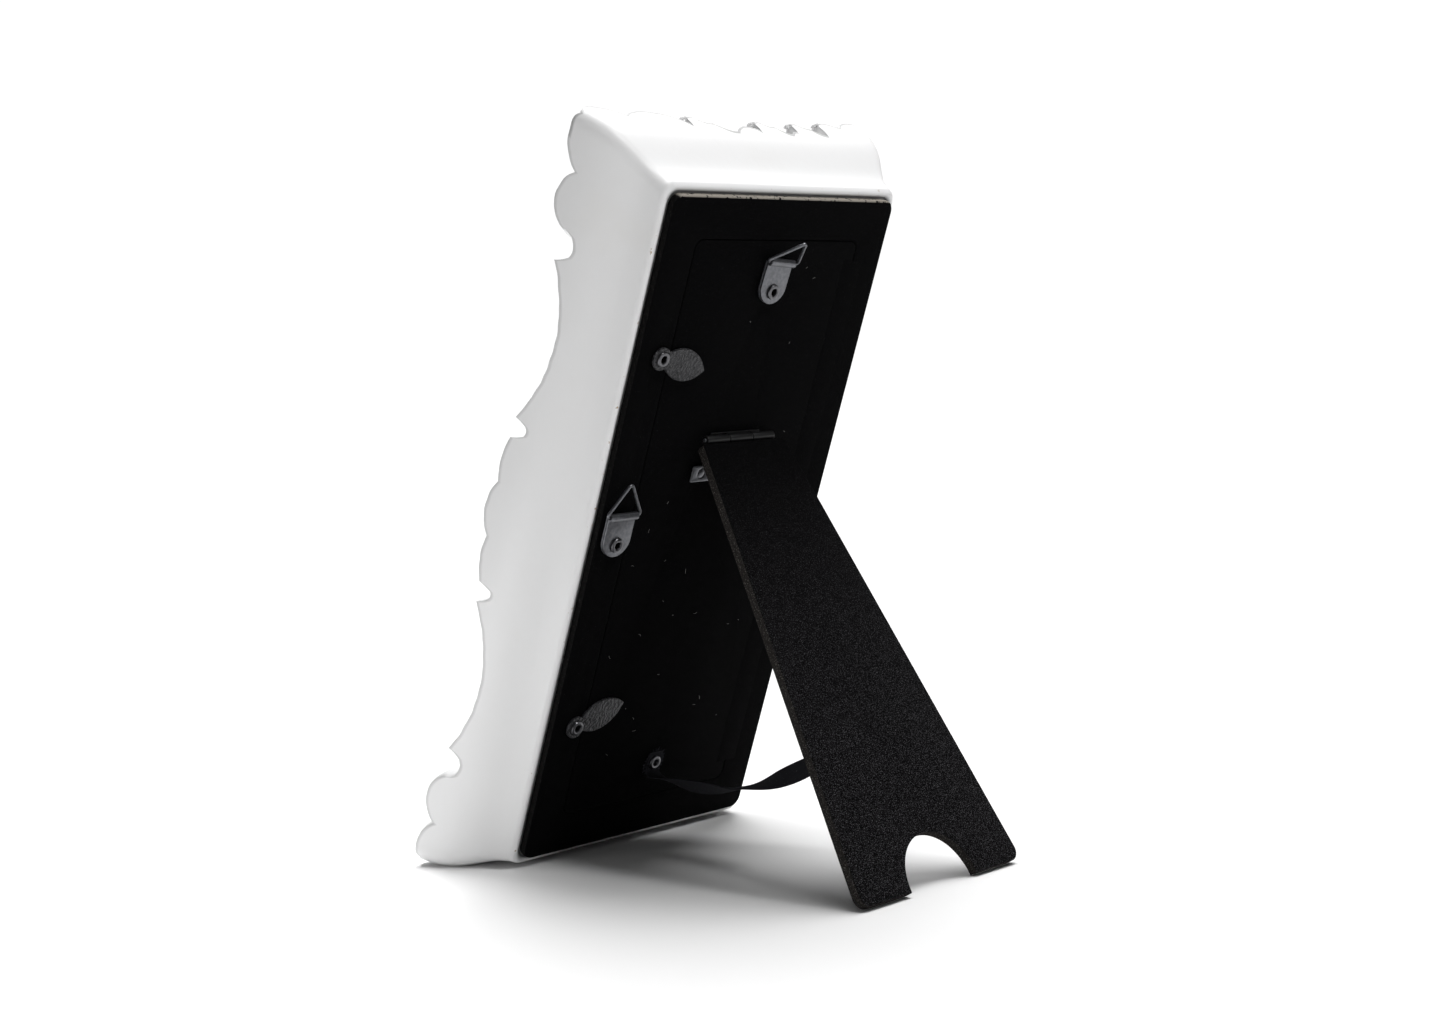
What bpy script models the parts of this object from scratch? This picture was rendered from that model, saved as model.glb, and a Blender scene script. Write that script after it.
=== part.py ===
"""Free-standing photo frame: an ornate cast frame with a flocked back, an easel leg and two hangers.

Everything on the frame is modelled upright in the panel's own axes: X across, Y out of the back, Z up the
panel, with the origin at the middle of the back board's rear face. One empty leans it all back.
"""
import math

import bmesh
import bpy
from mathutils import Euler, Vector

# Back board, and how far the frame leans back on its leg
BOARD_WIDTH = 0.098
BOARD_HEIGHT = 0.208
BOARD_THICKNESS = 0.0025
BOARD_CORNER = 0.004
LEAN = math.radians(20.9)

# Clearances
GAP = 0.0003  # between pieces that rest on each other
EDGE_GAP = 0.0004  # round the board and round the door

# Cast frame
BOARD_PROUD = 0.0020  # the board stands this far out of the rim
RIM_WIDTH = 0.0024
SEAT_WIDTH = 0.0030  # ledge that the board sits on
LIP_THICKNESS = 0.0028
SIGHT_INSET = 0.0080  # the window is smaller than the board by this much on each side
OUTLINE_STEP = 0.0055

# Contents
GLASS_THICKNESS = 0.0020
PHOTO_THICKNESS = 0.0004
BACKING_THICKNESS = 0.0012

# Door in the back board
DOOR_MARGIN = 0.0127
DOOR_CORNER = 0.0030
CLOTH_WIDTH = 0.0090
CLOTH_THICKNESS = 0.0003
CLOTH_END_MARGIN = 0.0060

# Easel leg
LEG_SLOPE = math.radians(28.9)  # from the vertical when it stands; the length follows
LEG_TOP_WIDTH = 0.0368
LEG_FOOT_WIDTH = 0.0748
LEG_THICKNESS = 0.0030
LEG_CORNER = 0.0035
NOTCH_RADIUS = 0.0153
NOTCH_CORNER = 0.0020

# Leg hinge
HINGE_HEIGHT = 0.0305 / 0.208 * BOARD_HEIGHT  # pin above the middle of the board
HINGE_WIDTH = 0.0300
KNUCKLE_WIDTH = 0.0100
KNUCKLE_RADIUS = 0.0014
PIN_RADIUS = 0.0006
PIN_CLEARANCE = 0.00015
PLATE_WIDTH = 0.0304
PLATE_NECK = 0.0220
PLATE_FOOT = 0.0052
PLATE_DROP = 0.0140
PLATE_THICKNESS = 0.0005
LEAF_DEPTH = 0.0120
LEAF_THICKNESS = 0.0006
RIVET_SPACING = 0.0220
RIVET_HEAD_RADIUS = 0.0015
RIVET_SHANK_RADIUS = 0.0009

# Turn buttons
BUTTON_THICKNESS = 0.0010
BUTTON_HEAD_RADIUS = 0.0035
BUTTON_REACH = 0.0195
BUTTON_NECK = 0.0024
BUTTON_BULGE = 0.0024
BUTTON_X = BOARD_WIDTH / 2.0 - 0.0086
BUTTON_PLACES = {
    "upper": (0.27 * BOARD_HEIGHT, math.radians(168.0)),
    "lower": (-0.29 * BOARD_HEIGHT, math.radians(197.0)),
}

# Strap hangers with a wire ring
STRAP_WIDTH = 0.0110
STRAP_THICKNESS = 0.0014
STRAP_REACH = 0.0090  # eyelet to ring wire
LOOP_WALL = 0.0006
LOOP_CLEARANCE = 0.0002
LOOP_LIFT = 0.0001  # the round of the fold stands this far off the strap's underside and past its sides
WIRE_RADIUS = 0.0007
RING_WIDTH = 0.0146
RING_HEIGHT = 0.0105
RING_CORNER = 0.0010
HANGERS = {
    "top": (0.0, BOARD_HEIGHT / 2.0 - 0.0280, math.radians(-4.0), math.radians(-40.0)),
    "side": (BOARD_WIDTH / 2.0 - 0.0069, -0.0007, math.radians(0.0), math.radians(-2.0)),
}

# Hollow eyelets
EYELET_BORE = 0.0011
EYELET_BARREL = 0.0015
EYELET_FLANGE = 0.0023
EYELET_FLANGE_THICKNESS = 0.0005

# Ribbon stay between the door and the leg
RIBBON_WIDTH = 0.0062
RIBBON_THICKNESS = 0.0004
RIBBON_DOOR_Z = -BOARD_HEIGHT / 2.0 + 0.0250
RIBBON_LEG_SHARE = 0.618  # of the leg's length, down from its hinge pin
RIBBON_SAG = 0.0092
RIBBON_TWIST = math.radians(75.0)
RIBBON_STEPS = 18

# The outer wall is one flared surface, as (depth in front of the board, overhang past the board)
FLARE = [
    (0.0008, 0.0024), (0.0030, 0.0026), (0.0060, 0.0036), (0.0090, 0.0049), (0.0120, 0.0069), (0.0150, 0.0090),
    (0.0180, 0.0109), (0.0210, 0.0123), (0.0240, 0.0133), (0.0270, 0.0140), (0.0300, 0.0145), (0.0340, 0.0149),
]
TOP_FLARE = 1.08
BOTTOM_FLARE = 0.90
FLARE_CORNER = 0.0045

# Its front edge is cut to an ornate line: (share of the way from the middle of the edge to the board's corner,
# depth of the wall there, how far the arc to the next point bulges forwards)
SIDE_RUN = [
    (-0.985, 0.0267, 0.0049), (-0.829, 0.0269, -0.0040), (-0.738, 0.0272, -0.0064), (-0.279, 0.0288, -0.0028),
    (-0.218, 0.0292, 0.0011), (-0.082, 0.0301, 0.0029), (0.082, 0.0301, 0.0011), (0.218, 0.0292, -0.0028),
    (0.279, 0.0288, -0.0064), (0.738, 0.0272, -0.0040), (0.829, 0.0269, 0.0049), (0.985, 0.0267, 0.0),
]
TOP_RUN = [
    (0.961, 0.0273, 0.0050), (0.449, 0.0240, 0.0030), (0.250, 0.0250, -0.0018), (0.070, 0.0225, 0.0022),
    (-0.139, 0.0230, 0.0030), (-0.430, 0.0225, 0.0030), (-0.770, 0.0235, 0.0036), (-0.961, 0.0273, 0.0),
]
BOTTOM_RUN = [
    (-0.961, 0.0273, 0.0040), (-0.450, 0.0245, -0.0015), (-0.150, 0.0240, 0.0025), (0.150, 0.0240, -0.0015),
    (0.450, 0.0245, 0.0040), (0.961, 0.0273, 0.0),
]
CORNER_DEPTH = 0.0302
CORNER_BULGE = 0.0030
CORNER_STEP = 0.0022
WALL_SHARES = [0.0, 0.12, 0.25, 0.37, 0.49, 0.61, 0.75, 0.89, 1.0]  # rings up the wall
EDGE_ROUND = 0.0012

# Section of its front: (share of the way from the window to the edge, share of the edge's height over the lip)
FACE_SECTION = [(0.0, 0.0), (0.10, 0.125), (0.26, 0.108), (0.45, 0.333), (0.70, 0.79), (0.95, 1.0)]

part_collection = None
cutter_collection = None


def start_scene():
    """Empty the scene and make one collection for the parts and one for the cutters."""
    global part_collection, cutter_collection
    for obj in list(bpy.data.objects):
        bpy.data.objects.remove(obj, do_unlink=True)
    part_collection = bpy.data.collections.new("photo_frame")
    cutter_collection = bpy.data.collections.new("cutters")
    bpy.context.scene.collection.children.link(part_collection)
    bpy.context.scene.collection.children.link(cutter_collection)


def make_material(name, color, roughness, metallic=0.0, alpha=1.0):
    material = bpy.data.materials.new(name)
    material.use_nodes = True
    shader = material.node_tree.nodes["Principled BSDF"]
    shader.inputs["Base Color"].default_value = (*color, 1.0)
    shader.inputs["Roughness"].default_value = roughness
    shader.inputs["Metallic"].default_value = metallic
    shader.inputs["Alpha"].default_value = alpha
    return material


def place(obj, parent, location=(0.0, 0.0, 0.0), rotation=(0.0, 0.0, 0.0), collection=None):
    """Put an object in its collection, under its parent."""
    for holder in list(obj.users_collection):
        holder.objects.unlink(obj)
    (collection or part_collection).objects.link(obj)
    obj.parent = parent
    obj.location = location
    obj.rotation_euler = rotation
    return obj


def add_pivot(name, parent, location, rotation=(0.0, 0.0, 0.0)):
    return place(bpy.data.objects.new(name, None), parent, location, rotation)


def finish(obj, material, smooth=False):
    obj.data.materials.clear()
    obj.data.materials.append(material)
    if smooth:
        obj.data.shade_smooth()
        obj.data.set_sharp_from_angle(angle=math.radians(35.0))
    return obj


# ---- flat outlines ----

def arc_between(start, end, bulge, step):
    """Points from start to just before end, on the arc that stands bulge to the right of the chord."""
    chord = end - start
    length = chord.length
    count = max(2, round(length / step)) if bulge else 1
    side = Vector((chord.y, -chord.x)) / length
    if not bulge:
        return [start.copy()]
    radius = (length * length / 4.0 + bulge * bulge) / (2.0 * abs(bulge))
    half_angle = math.asin(min(1.0, length / 2.0 / radius))
    middle = (start + end) / 2.0
    points = []
    for i in range(count):
        angle = -half_angle + 2.0 * half_angle * i / count
        along = radius * math.sin(angle)
        out = abs(bulge) - radius * (1.0 - math.cos(angle))
        points.append(middle + chord / length * along + side * math.copysign(out, bulge))
    return points


def rounded_corner(previous, corner, following, radius, segments=5):
    """Points of the fillet between two straight edges."""
    back = (previous - corner).normalized()
    ahead = (following - corner).normalized()
    half = back.angle(ahead) / 2.0
    reach = radius / math.tan(half)
    centre = corner + (back + ahead).normalized() * radius / math.sin(half)
    first = corner + back * reach - centre
    last = corner + ahead * reach - centre
    turn = first.angle_signed(last)
    points = []
    for i in range(segments + 1):
        angle = -turn * i / segments
        points.append(centre + Vector((first.x * math.cos(angle) - first.y * math.sin(angle),
                                       first.x * math.sin(angle) + first.y * math.cos(angle))))
    return points


def rounded_rectangle(width, height, radius):
    corners = [Vector((sx * width / 2.0, sy * height / 2.0)) for sx, sy in ((1, -1), (1, 1), (-1, 1), (-1, -1))]
    points = []
    for i, corner in enumerate(corners):
        points += rounded_corner(corners[i - 1], corner, corners[(i + 1) % 4], radius)
    return points


def circle(x, y, radius, segments=20):
    angles = [2.0 * math.pi * i / segments for i in range(segments)]
    return [Vector((x + radius * math.cos(a), y + radius * math.sin(a))) for a in angles]


def make_plate(name, loops, thickness, parent, location, collection=None):
    """A flat plate in the XZ plane, from an outer loop and any holes in it, as a mesh."""
    curve = bpy.data.curves.new(name, "CURVE")
    curve.dimensions = "2D"
    curve.fill_mode = "BOTH"
    curve.extrude = thickness / 2.0
    for loop in loops:
        spline = curve.splines.new("POLY")
        spline.points.add(len(loop) - 1)
        for point, at in zip(spline.points, loop):
            point.co = (at.x, at.y, 0.0, 1.0)
        spline.use_cyclic_u = True
    source = bpy.data.objects.new(name + "_outline", curve)
    bpy.context.scene.collection.objects.link(source)
    bpy.context.view_layer.update()
    mesh = bpy.data.meshes.new_from_object(source.evaluated_get(bpy.context.evaluated_depsgraph_get()))
    bpy.data.objects.remove(source, do_unlink=True)
    shape = bmesh.new()
    shape.from_mesh(mesh)
    bmesh.ops.remove_doubles(shape, verts=shape.verts, dist=0.000005)
    shape.to_mesh(mesh)
    shape.free()
    mesh.name = name
    obj = bpy.data.objects.new(name, mesh)
    return place(obj, parent, location, (math.pi / 2.0, 0.0, 0.0), collection)


# ---- solids ----

def make_cylinder(name, radius, depth, parent, location, rotation, collection=None, segments=24):
    bpy.ops.mesh.primitive_cylinder_add(vertices=segments, radius=radius, depth=depth)
    obj = bpy.context.object
    obj.name = name
    return place(obj, parent, location, rotation, collection)


def make_box(name, size, parent, location, collection=None):
    mesh = bpy.data.meshes.new(name)
    shape = bmesh.new()
    bmesh.ops.create_cube(shape, size=1.0)
    bmesh.ops.scale(shape, vec=size, verts=shape.verts)
    shape.to_mesh(mesh)
    shape.free()
    return place(bpy.data.objects.new(name, mesh), parent, location, collection=collection)


def combine(obj, other, operation):
    """Boolean an object with a hidden helper."""
    other.hide_render = True
    other.display_type = "WIRE"
    modifier = obj.modifiers.new(operation.lower(), "BOOLEAN")
    modifier.operation = operation
    modifier.object = other
    modifier.solver = "EXACT"


def make_turned(name, profile, parent, location, rotation, segments=20):
    """Turn a closed profile of (radius, height) points about the object's Z axis."""
    mesh = bpy.data.meshes.new(name)
    shape = bmesh.new()
    verts = [shape.verts.new((radius, 0.0, height)) for radius, height in profile]
    for i, vert in enumerate(verts):
        shape.edges.new((vert, verts[(i + 1) % len(verts)]))
    shape.to_mesh(mesh)
    shape.free()
    obj = place(bpy.data.objects.new(name, mesh), parent, location, rotation)
    screw = obj.modifiers.new("turn", "SCREW")
    screw.steps = segments
    screw.render_steps = segments
    screw.use_merge_vertices = True
    screw.merge_threshold = 0.00001
    return obj


def make_wire(name, points, radius, parent, location, rotation, closed):
    curve = bpy.data.curves.new(name, "CURVE")
    curve.dimensions = "3D"
    curve.bevel_depth = radius
    curve.bevel_resolution = 2
    curve.use_fill_caps = not closed
    spline = curve.splines.new("POLY")
    spline.points.add(len(points) - 1)
    for point, at in zip(spline.points, points):
        point.co = (*at, 1.0)
    spline.use_cyclic_u = closed
    return place(bpy.data.objects.new(name, curve), parent, location, rotation)


# ---- cast frame ----

def flare(depth):
    """Overhang of the wall at a depth."""
    for (low, near), (high, far) in zip(FLARE, FLARE[1:]):
        if depth <= high:
            return near + (far - near) * max(0.0, (depth - low) / (high - low))
    return FLARE[-1][1]


def wall_size(depth, upwards):
    """Half width and half height of the wall's rounded rectangle at a depth."""
    spread = TOP_FLARE if upwards else BOTTOM_FLARE
    return BOARD_WIDTH / 2.0 + flare(depth), BOARD_HEIGHT / 2.0 + flare(depth) * spread


def edge_line(start, end, bulge, step):
    """Points (along, depth) of an arc that bulges forwards."""
    flip = 1.0 if end[0] < start[0] else -1.0
    return arc_between(Vector(start), Vector(end), flip * bulge, step)


def wall_edge():
    """The ornate edge once round, as (across, up, depth), with across and up as shares of the wall's size."""
    points = []
    runs = [(SIDE_RUN, 1, 0), (TOP_RUN, 1, 1), (SIDE_RUN, -1, 0), (BOTTOM_RUN, 1, 1)]
    for number, (run, sign, along_x) in enumerate(runs):
        half = BOARD_WIDTH / 2.0 if along_x else BOARD_HEIGHT / 2.0
        stops = [(share * half, depth, bulge) for share, depth, bulge in run]
        upwards = number in (0, 1)
        corner_x, corner_z = wall_size(CORNER_DEPTH, upwards)
        reach_before, reach_after = corner_x, corner_x
        if not along_x:
            reach_before = wall_size(CORNER_DEPTH, sign < 0)[1]
            reach_after = wall_size(CORNER_DEPTH, sign > 0)[1]
        direction = 1.0 if stops[-1][0] > stops[0][0] else -1.0
        line = edge_line((-direction * reach_before, CORNER_DEPTH), stops[0][:2], CORNER_BULGE, CORNER_STEP)
        for first, second in zip(stops, stops[1:]):
            line += edge_line(first[:2], second[:2], first[2], OUTLINE_STEP)
        line += edge_line(stops[-1][:2], (direction * reach_after, CORNER_DEPTH), CORNER_BULGE, CORNER_STEP)
        for at in line:
            along, depth = at.x * sign, at.y
            size = wall_size(depth, along > 0.0 if not along_x else upwards)
            if along_x:
                x, z = along, size[1] * (1.0 if upwards else -1.0)
            else:
                x, z = size[0] * sign, along
            points.append((*round_corner(x, z, size), depth))
    return points


def round_corner(x, z, size):
    """Move a point on a rectangle's edge onto its corner fillet, and give it as shares of the rectangle."""
    core = Vector((size[0] - FLARE_CORNER, size[1] - FLARE_CORNER))
    out = Vector((abs(x) - core.x, abs(z) - core.y))
    if out.x > 0.0 and out.y > 0.0:
        out = out.normalized() * FLARE_CORNER
    return math.copysign(core.x + out.x, x) / size[0], math.copysign(core.y + out.y, z) / size[1]


def frame_rings():
    """Closed rings of (x, y, z) points, from the pocket inwards, round the front and back down the wall."""
    edge = wall_edge()
    pocket_depth = BOARD_THICKNESS + GAP
    contents = BACKING_THICKNESS + PHOTO_THICKNESS + GLASS_THICKNESS + 3.0 * GAP
    lip_back = pocket_depth + contents
    lip_front = lip_back + LIP_THICKNESS

    def level_ring(overhang, depth):
        half_x, half_z = BOARD_WIDTH / 2.0 + overhang, BOARD_HEIGHT / 2.0 + overhang
        return [Vector((across * half_x, -depth, up * half_z)) for across, up, _ in edge]

    def wall_point(across, up, depth):
        half_x, half_z = wall_size(depth, up > 0.0)
        return Vector((across * half_x, -depth, up * half_z))

    rings = [
        level_ring(EDGE_GAP, BOARD_PROUD),
        level_ring(EDGE_GAP, pocket_depth),
        level_ring(-SEAT_WIDTH, pocket_depth),
        level_ring(-SEAT_WIDTH, lip_back),
        level_ring(-SIGHT_INSET, lip_back),
    ]
    sight = level_ring(-SIGHT_INSET, lip_front)
    for share, rise in FACE_SECTION:
        ring = []
        for near, (across, up, depth) in zip(sight, edge):
            at = near.lerp(wall_point(across, up, depth), share)
            at.y = -lip_front - (depth - lip_front) * rise
            ring.append(at)
        rings.append(ring)
    base = BOARD_PROUD + 0.0008
    for share in reversed(WALL_SHARES):
        rings.append([wall_point(across, up, base + (depth - EDGE_ROUND - base) * share) for across, up, depth in edge])
    rings.append(level_ring(RIM_WIDTH - 0.0010, BOARD_PROUD))
    return rings


def make_moulding(parent, material):
    """Loft the rings into one casting; its section changes all the way round."""
    mesh = bpy.data.meshes.new("frame_moulding")
    shape = bmesh.new()
    rings = [[shape.verts.new(point) for point in ring] for ring in frame_rings()]
    for i, ring in enumerate(rings):
        following = rings[(i + 1) % len(rings)]
        for j in range(len(ring)):
            k = (j + 1) % len(ring)
            shape.faces.new((ring[j], ring[k], following[k], following[j]))
    bmesh.ops.recalc_face_normals(shape, faces=shape.faces)
    shape.to_mesh(mesh)
    shape.free()
    return finish(place(bpy.data.objects.new("frame_moulding", mesh), parent), material, smooth=True)


# ---- pose ----

def hinge_offset():
    """Height of the hinge pin above the back of the board."""
    return GAP + PLATE_THICKNESS + GAP + KNUCKLE_RADIUS


def stand_up(stand, moulding):
    """Lean the frame on its lowest point, and return how far the leg reaches from its pin to the ground."""
    turn = Euler((-LEAN, 0.0, 0.0)).to_matrix()
    corners = [turn @ vert.co for vert in moulding.data.vertices]
    height = -min(corner.z for corner in corners)
    pin = turn @ Vector((0.0, hinge_offset(), HINGE_HEIGHT))
    half_thickness = LEG_THICKNESS / 2.0
    drop = (pin.z + height - half_thickness * math.sin(LEG_SLOPE)) / math.cos(LEG_SLOPE)
    front = min(corner.y for corner in corners)
    back = pin.y + drop * math.sin(LEG_SLOPE) + half_thickness * math.cos(LEG_SLOPE)
    stand.rotation_euler = (-LEAN, 0.0, 0.0)
    stand.location = (0.0, -(front + back) / 2.0, height)
    return drop


# ---- contents, back and door ----

def make_contents(parent, materials):
    size = Vector((BOARD_WIDTH, BOARD_HEIGHT)) - Vector((1.0, 1.0)) * 2.0 * (SEAT_WIDTH + GAP)
    top = -BOARD_THICKNESS - GAP
    for name, thickness, material in (("backing_card", BACKING_THICKNESS, materials["card"]),
                                      ("photo_insert", PHOTO_THICKNESS, materials["paper"]),
                                      ("glass_pane", GLASS_THICKNESS, materials["glass"])):
        sheet = rounded_rectangle(size.x, size.y, BOARD_CORNER + EDGE_GAP)
        centre = (0.0, top - thickness / 2.0, 0.0)
        finish(make_plate(name, [sheet], thickness, parent, centre), material)
        top -= thickness + GAP


def make_back(parent, materials):
    """The flocked back board: a surround, the door cut out of it, and the cloth that joins them."""
    door_width = BOARD_WIDTH - 2.0 * DOOR_MARGIN
    door_height = BOARD_HEIGHT - 2.0 * DOOR_MARGIN
    eyelet_hole = EYELET_BARREL + GAP
    y = -BOARD_THICKNESS / 2.0

    loops = [
        rounded_rectangle(BOARD_WIDTH, BOARD_HEIGHT, BOARD_CORNER),
        rounded_rectangle(door_width, door_height, DOOR_CORNER),
        circle(HANGERS["side"][0], HANGERS["side"][1], eyelet_hole),
    ]
    for height, _ in BUTTON_PLACES.values():
        loops.append(circle(BUTTON_X, height, eyelet_hole))
    surround = make_plate("back_surround", loops, BOARD_THICKNESS, parent, (0.0, y, 0.0))

    rivet_hole = RIVET_SHANK_RADIUS + GAP
    loops = [
        rounded_rectangle(door_width - 2.0 * EDGE_GAP, door_height - 2.0 * EDGE_GAP, DOOR_CORNER - EDGE_GAP),
        circle(HANGERS["top"][0], HANGERS["top"][1], eyelet_hole),
        circle(0.0, RIBBON_DOOR_Z, eyelet_hole),
    ]
    for x, z in rivet_places():
        loops.append(circle(x, z, rivet_hole))
    door = make_plate("back_door", loops, BOARD_THICKNESS, parent, (0.0, y, 0.0))

    # The cloth lies in a shallow rebate over the door's -X edge
    edge = -door_width / 2.0
    cloth_height = door_height - 2.0 * CLOTH_END_MARGIN
    rebate = CLOTH_THICKNESS + GAP
    size = (CLOTH_WIDTH + 2.0 * GAP, 2.0 * rebate, cloth_height + 2.0 * GAP)
    cutter = make_box("cloth_rebate", size, parent, (edge, 0.0, 0.0), cutter_collection)
    for board in (surround, door):
        combine(board, cutter, "DIFFERENCE")
        finish(board, materials["flock"])
    size = (CLOTH_WIDTH, CLOTH_THICKNESS, cloth_height)
    cloth = make_box("door_hinge_cloth", size, parent, (edge, -CLOTH_THICKNESS / 2.0, 0.0))
    finish(cloth, materials["flock"])


def make_eyelet(name, parent, x, z, stack_top, material):
    """A hollow eyelet through what lies between the board and stack_top."""
    flange_base = stack_top + GAP
    flange_top = flange_base + EYELET_FLANGE_THICKNESS
    barrel_end = -BOARD_THICKNESS + GAP
    profile = [
        (EYELET_BARREL, barrel_end), (EYELET_BORE, barrel_end), (EYELET_BORE, flange_top - 0.0002),
        (EYELET_BORE + 0.0002, flange_top), (EYELET_FLANGE - 0.0002, flange_top),
        (EYELET_FLANGE, flange_base + 0.0002), (EYELET_FLANGE - 0.0001, flange_base), (EYELET_BARREL, flange_base),
    ]
    eyelet = make_turned(name, profile, parent, (x, 0.0, z), (-math.pi / 2.0, 0.0, 0.0))
    return finish(eyelet, material, smooth=True)


# ---- turn buttons and hangers ----

def make_turn_buttons(parent, materials):
    """Leaf-shaped buttons, drawn pointing along +X and turned about their eyelets."""
    neck_x = math.sqrt(BUTTON_HEAD_RADIUS ** 2 - BUTTON_NECK ** 2)
    start = Vector((neck_x, -BUTTON_NECK))
    tip = Vector((BUTTON_REACH, 0.0))
    edge = arc_between(start, tip, BUTTON_REACH * 0.17, 0.0015)
    upper = [Vector((p.x, -p.y)) for p in reversed(edge)]
    head_start = math.atan2(BUTTON_NECK, neck_x)
    head = []
    for i in range(1, 14):
        angle = head_start + (2.0 * math.pi - 2.0 * head_start) * i / 14
        head.append(Vector((math.cos(angle), math.sin(angle))) * BUTTON_HEAD_RADIUS)
    outline = edge + [tip] + upper + head
    hole = circle(0.0, 0.0, EYELET_BARREL + GAP)
    for place_name, (height, turn) in BUTTON_PLACES.items():
        centre = (BUTTON_X, GAP + BUTTON_THICKNESS / 2.0, height)
        pivot = add_pivot(place_name + "_button_pivot", parent, centre, (0.0, turn, 0.0))
        button = make_plate("turn_button_" + place_name, [outline, hole], BUTTON_THICKNESS, pivot, (0.0, 0.0, 0.0))
        finish(button, materials["hammered"])
        top = GAP + BUTTON_THICKNESS
        make_eyelet("button_eyelet_" + place_name, parent, BUTTON_X, height, top, materials["steel"])


def make_ring_points():
    """Rounded triangle of wire, hinged along its base and pointing up."""
    corners = [Vector((-RING_WIDTH / 2.0, 0.0)), Vector((RING_WIDTH / 2.0, 0.0)), Vector((0.0, RING_HEIGHT))]
    points = []
    for i, corner in enumerate(corners):
        points += rounded_corner(corners[i - 1], corner, corners[(i + 1) % 3], RING_CORNER, segments=4)
    return [(p.x, 0.0, p.y) for p in points]


def make_hangers(parent, materials):
    """Riveted straps folded round a wire ring, which swings in the fold."""
    loop_bore = WIRE_RADIUS + LOOP_CLEARANCE
    loop_outer = loop_bore + LOOP_WALL
    end_radius = STRAP_WIDTH / 2.0
    low = -end_radius * 0.75
    for name, (x, z, turn, tilt) in HANGERS.items():
        pivot = add_pivot(name + "_hanger_pivot", parent, (x, GAP, z), (0.0, turn, 0.0))
        corner_low = Vector((-end_radius, 0.0))
        outline = [Vector((end_radius, STRAP_REACH)), Vector((-end_radius, STRAP_REACH))]
        outline += arc_between(corner_low, Vector((end_radius, 0.0)), -low, 0.0012) + [Vector((end_radius, 0.0))]
        hole = circle(0.0, 0.0, EYELET_BARREL + GAP)
        middle = STRAP_THICKNESS / 2.0
        strap = make_plate("hanger_strap_" + name, [outline, hole], STRAP_THICKNESS, pivot, (0.0, middle, 0.0))
        across = (0.0, math.pi / 2.0, 0.0)
        centre = (0.0, loop_outer + LOOP_LIFT, STRAP_REACH)
        loop = make_cylinder(name + "_loop", loop_outer, STRAP_WIDTH + LOOP_LIFT, pivot, centre, across, cutter_collection)
        combine(strap, loop, "UNION")
        bore = make_cylinder(name + "_loop_bore", loop_bore, STRAP_WIDTH * 1.5, pivot, centre, across,
                             cutter_collection)
        combine(strap, bore, "DIFFERENCE")
        finish(strap, materials["steel"])
        ring_pivot = add_pivot(name + "_ring_pivot", pivot, centre, (tilt, 0.0, 0.0))
        ring = make_wire("d_ring_" + name, make_ring_points(), WIRE_RADIUS, ring_pivot, (0, 0, 0), (0, 0, 0), True)
        finish(ring, materials["steel"])
        make_eyelet("hanger_eyelet_" + name, parent, x, z, GAP + STRAP_THICKNESS, materials["steel"])


# ---- leg and its hinge ----

def rivet_places():
    height = HINGE_HEIGHT - PLATE_DROP + PLATE_FOOT / 2.0
    return [(-RIVET_SPACING / 2.0, height), (RIVET_SPACING / 2.0, height)]


def make_hinge_base(parent, materials):
    """Plate riveted to the door, with the middle knuckle of the hinge standing on it."""
    top = HINGE_HEIGHT + KNUCKLE_RADIUS
    bottom = HINGE_HEIGHT - PLATE_DROP
    foot = bottom + PLATE_FOOT
    half, neck = PLATE_WIDTH / 2.0, PLATE_NECK / 2.0
    side = [(half, bottom), (half, foot), (neck, foot), (neck, top)]
    outline = [Vector(at) for at in side + [(-x, z) for x, z in reversed(side)]]
    holes = [circle(x, z, RIVET_HEAD_RADIUS + GAP) for x, z in rivet_places()]
    middle = GAP + PLATE_THICKNESS / 2.0
    plate = make_plate("hinge_base_plate", [outline] + holes, PLATE_THICKNESS, parent, (0.0, middle, 0.0))
    pin_y = hinge_offset()
    across = (0.0, math.pi / 2.0, 0.0)
    centre = (0.0, pin_y, HINGE_HEIGHT)
    riser_size = (KNUCKLE_WIDTH, pin_y - middle, KNUCKLE_RADIUS)
    riser = make_box("knuckle_riser", riser_size, parent, (0.0, (pin_y + middle) / 2.0, HINGE_HEIGHT), cutter_collection)
    knuckle = make_cylinder("base_knuckle", KNUCKLE_RADIUS, KNUCKLE_WIDTH, parent, centre, across, cutter_collection)
    bore = make_cylinder("base_bore", PIN_RADIUS + PIN_CLEARANCE, KNUCKLE_WIDTH * 2.0, parent, centre, across,
                         cutter_collection)
    combine(plate, riser, "UNION")
    combine(plate, knuckle, "UNION")
    combine(plate, bore, "DIFFERENCE")
    finish(plate, materials["steel"])

    pin = make_cylinder("hinge_pin", PIN_RADIUS, HINGE_WIDTH + 0.0010, parent, centre, across)
    finish(pin, materials["steel"], smooth=True)
    for name, (x, z) in zip(("left", "right"), rivet_places()):
        head_top = GAP + PLATE_THICKNESS
        profile = [
            (0.0, -BOARD_THICKNESS + GAP), (RIVET_SHANK_RADIUS, -BOARD_THICKNESS + GAP),
            (RIVET_SHANK_RADIUS, GAP), (RIVET_HEAD_RADIUS, GAP), (RIVET_HEAD_RADIUS - 0.0002, head_top),
            (0.0, head_top),
        ]
        rivet = make_turned_solid("hinge_rivet_" + name, profile, parent, (x, 0.0, z))
        finish(rivet, materials["steel"], smooth=True)


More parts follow.
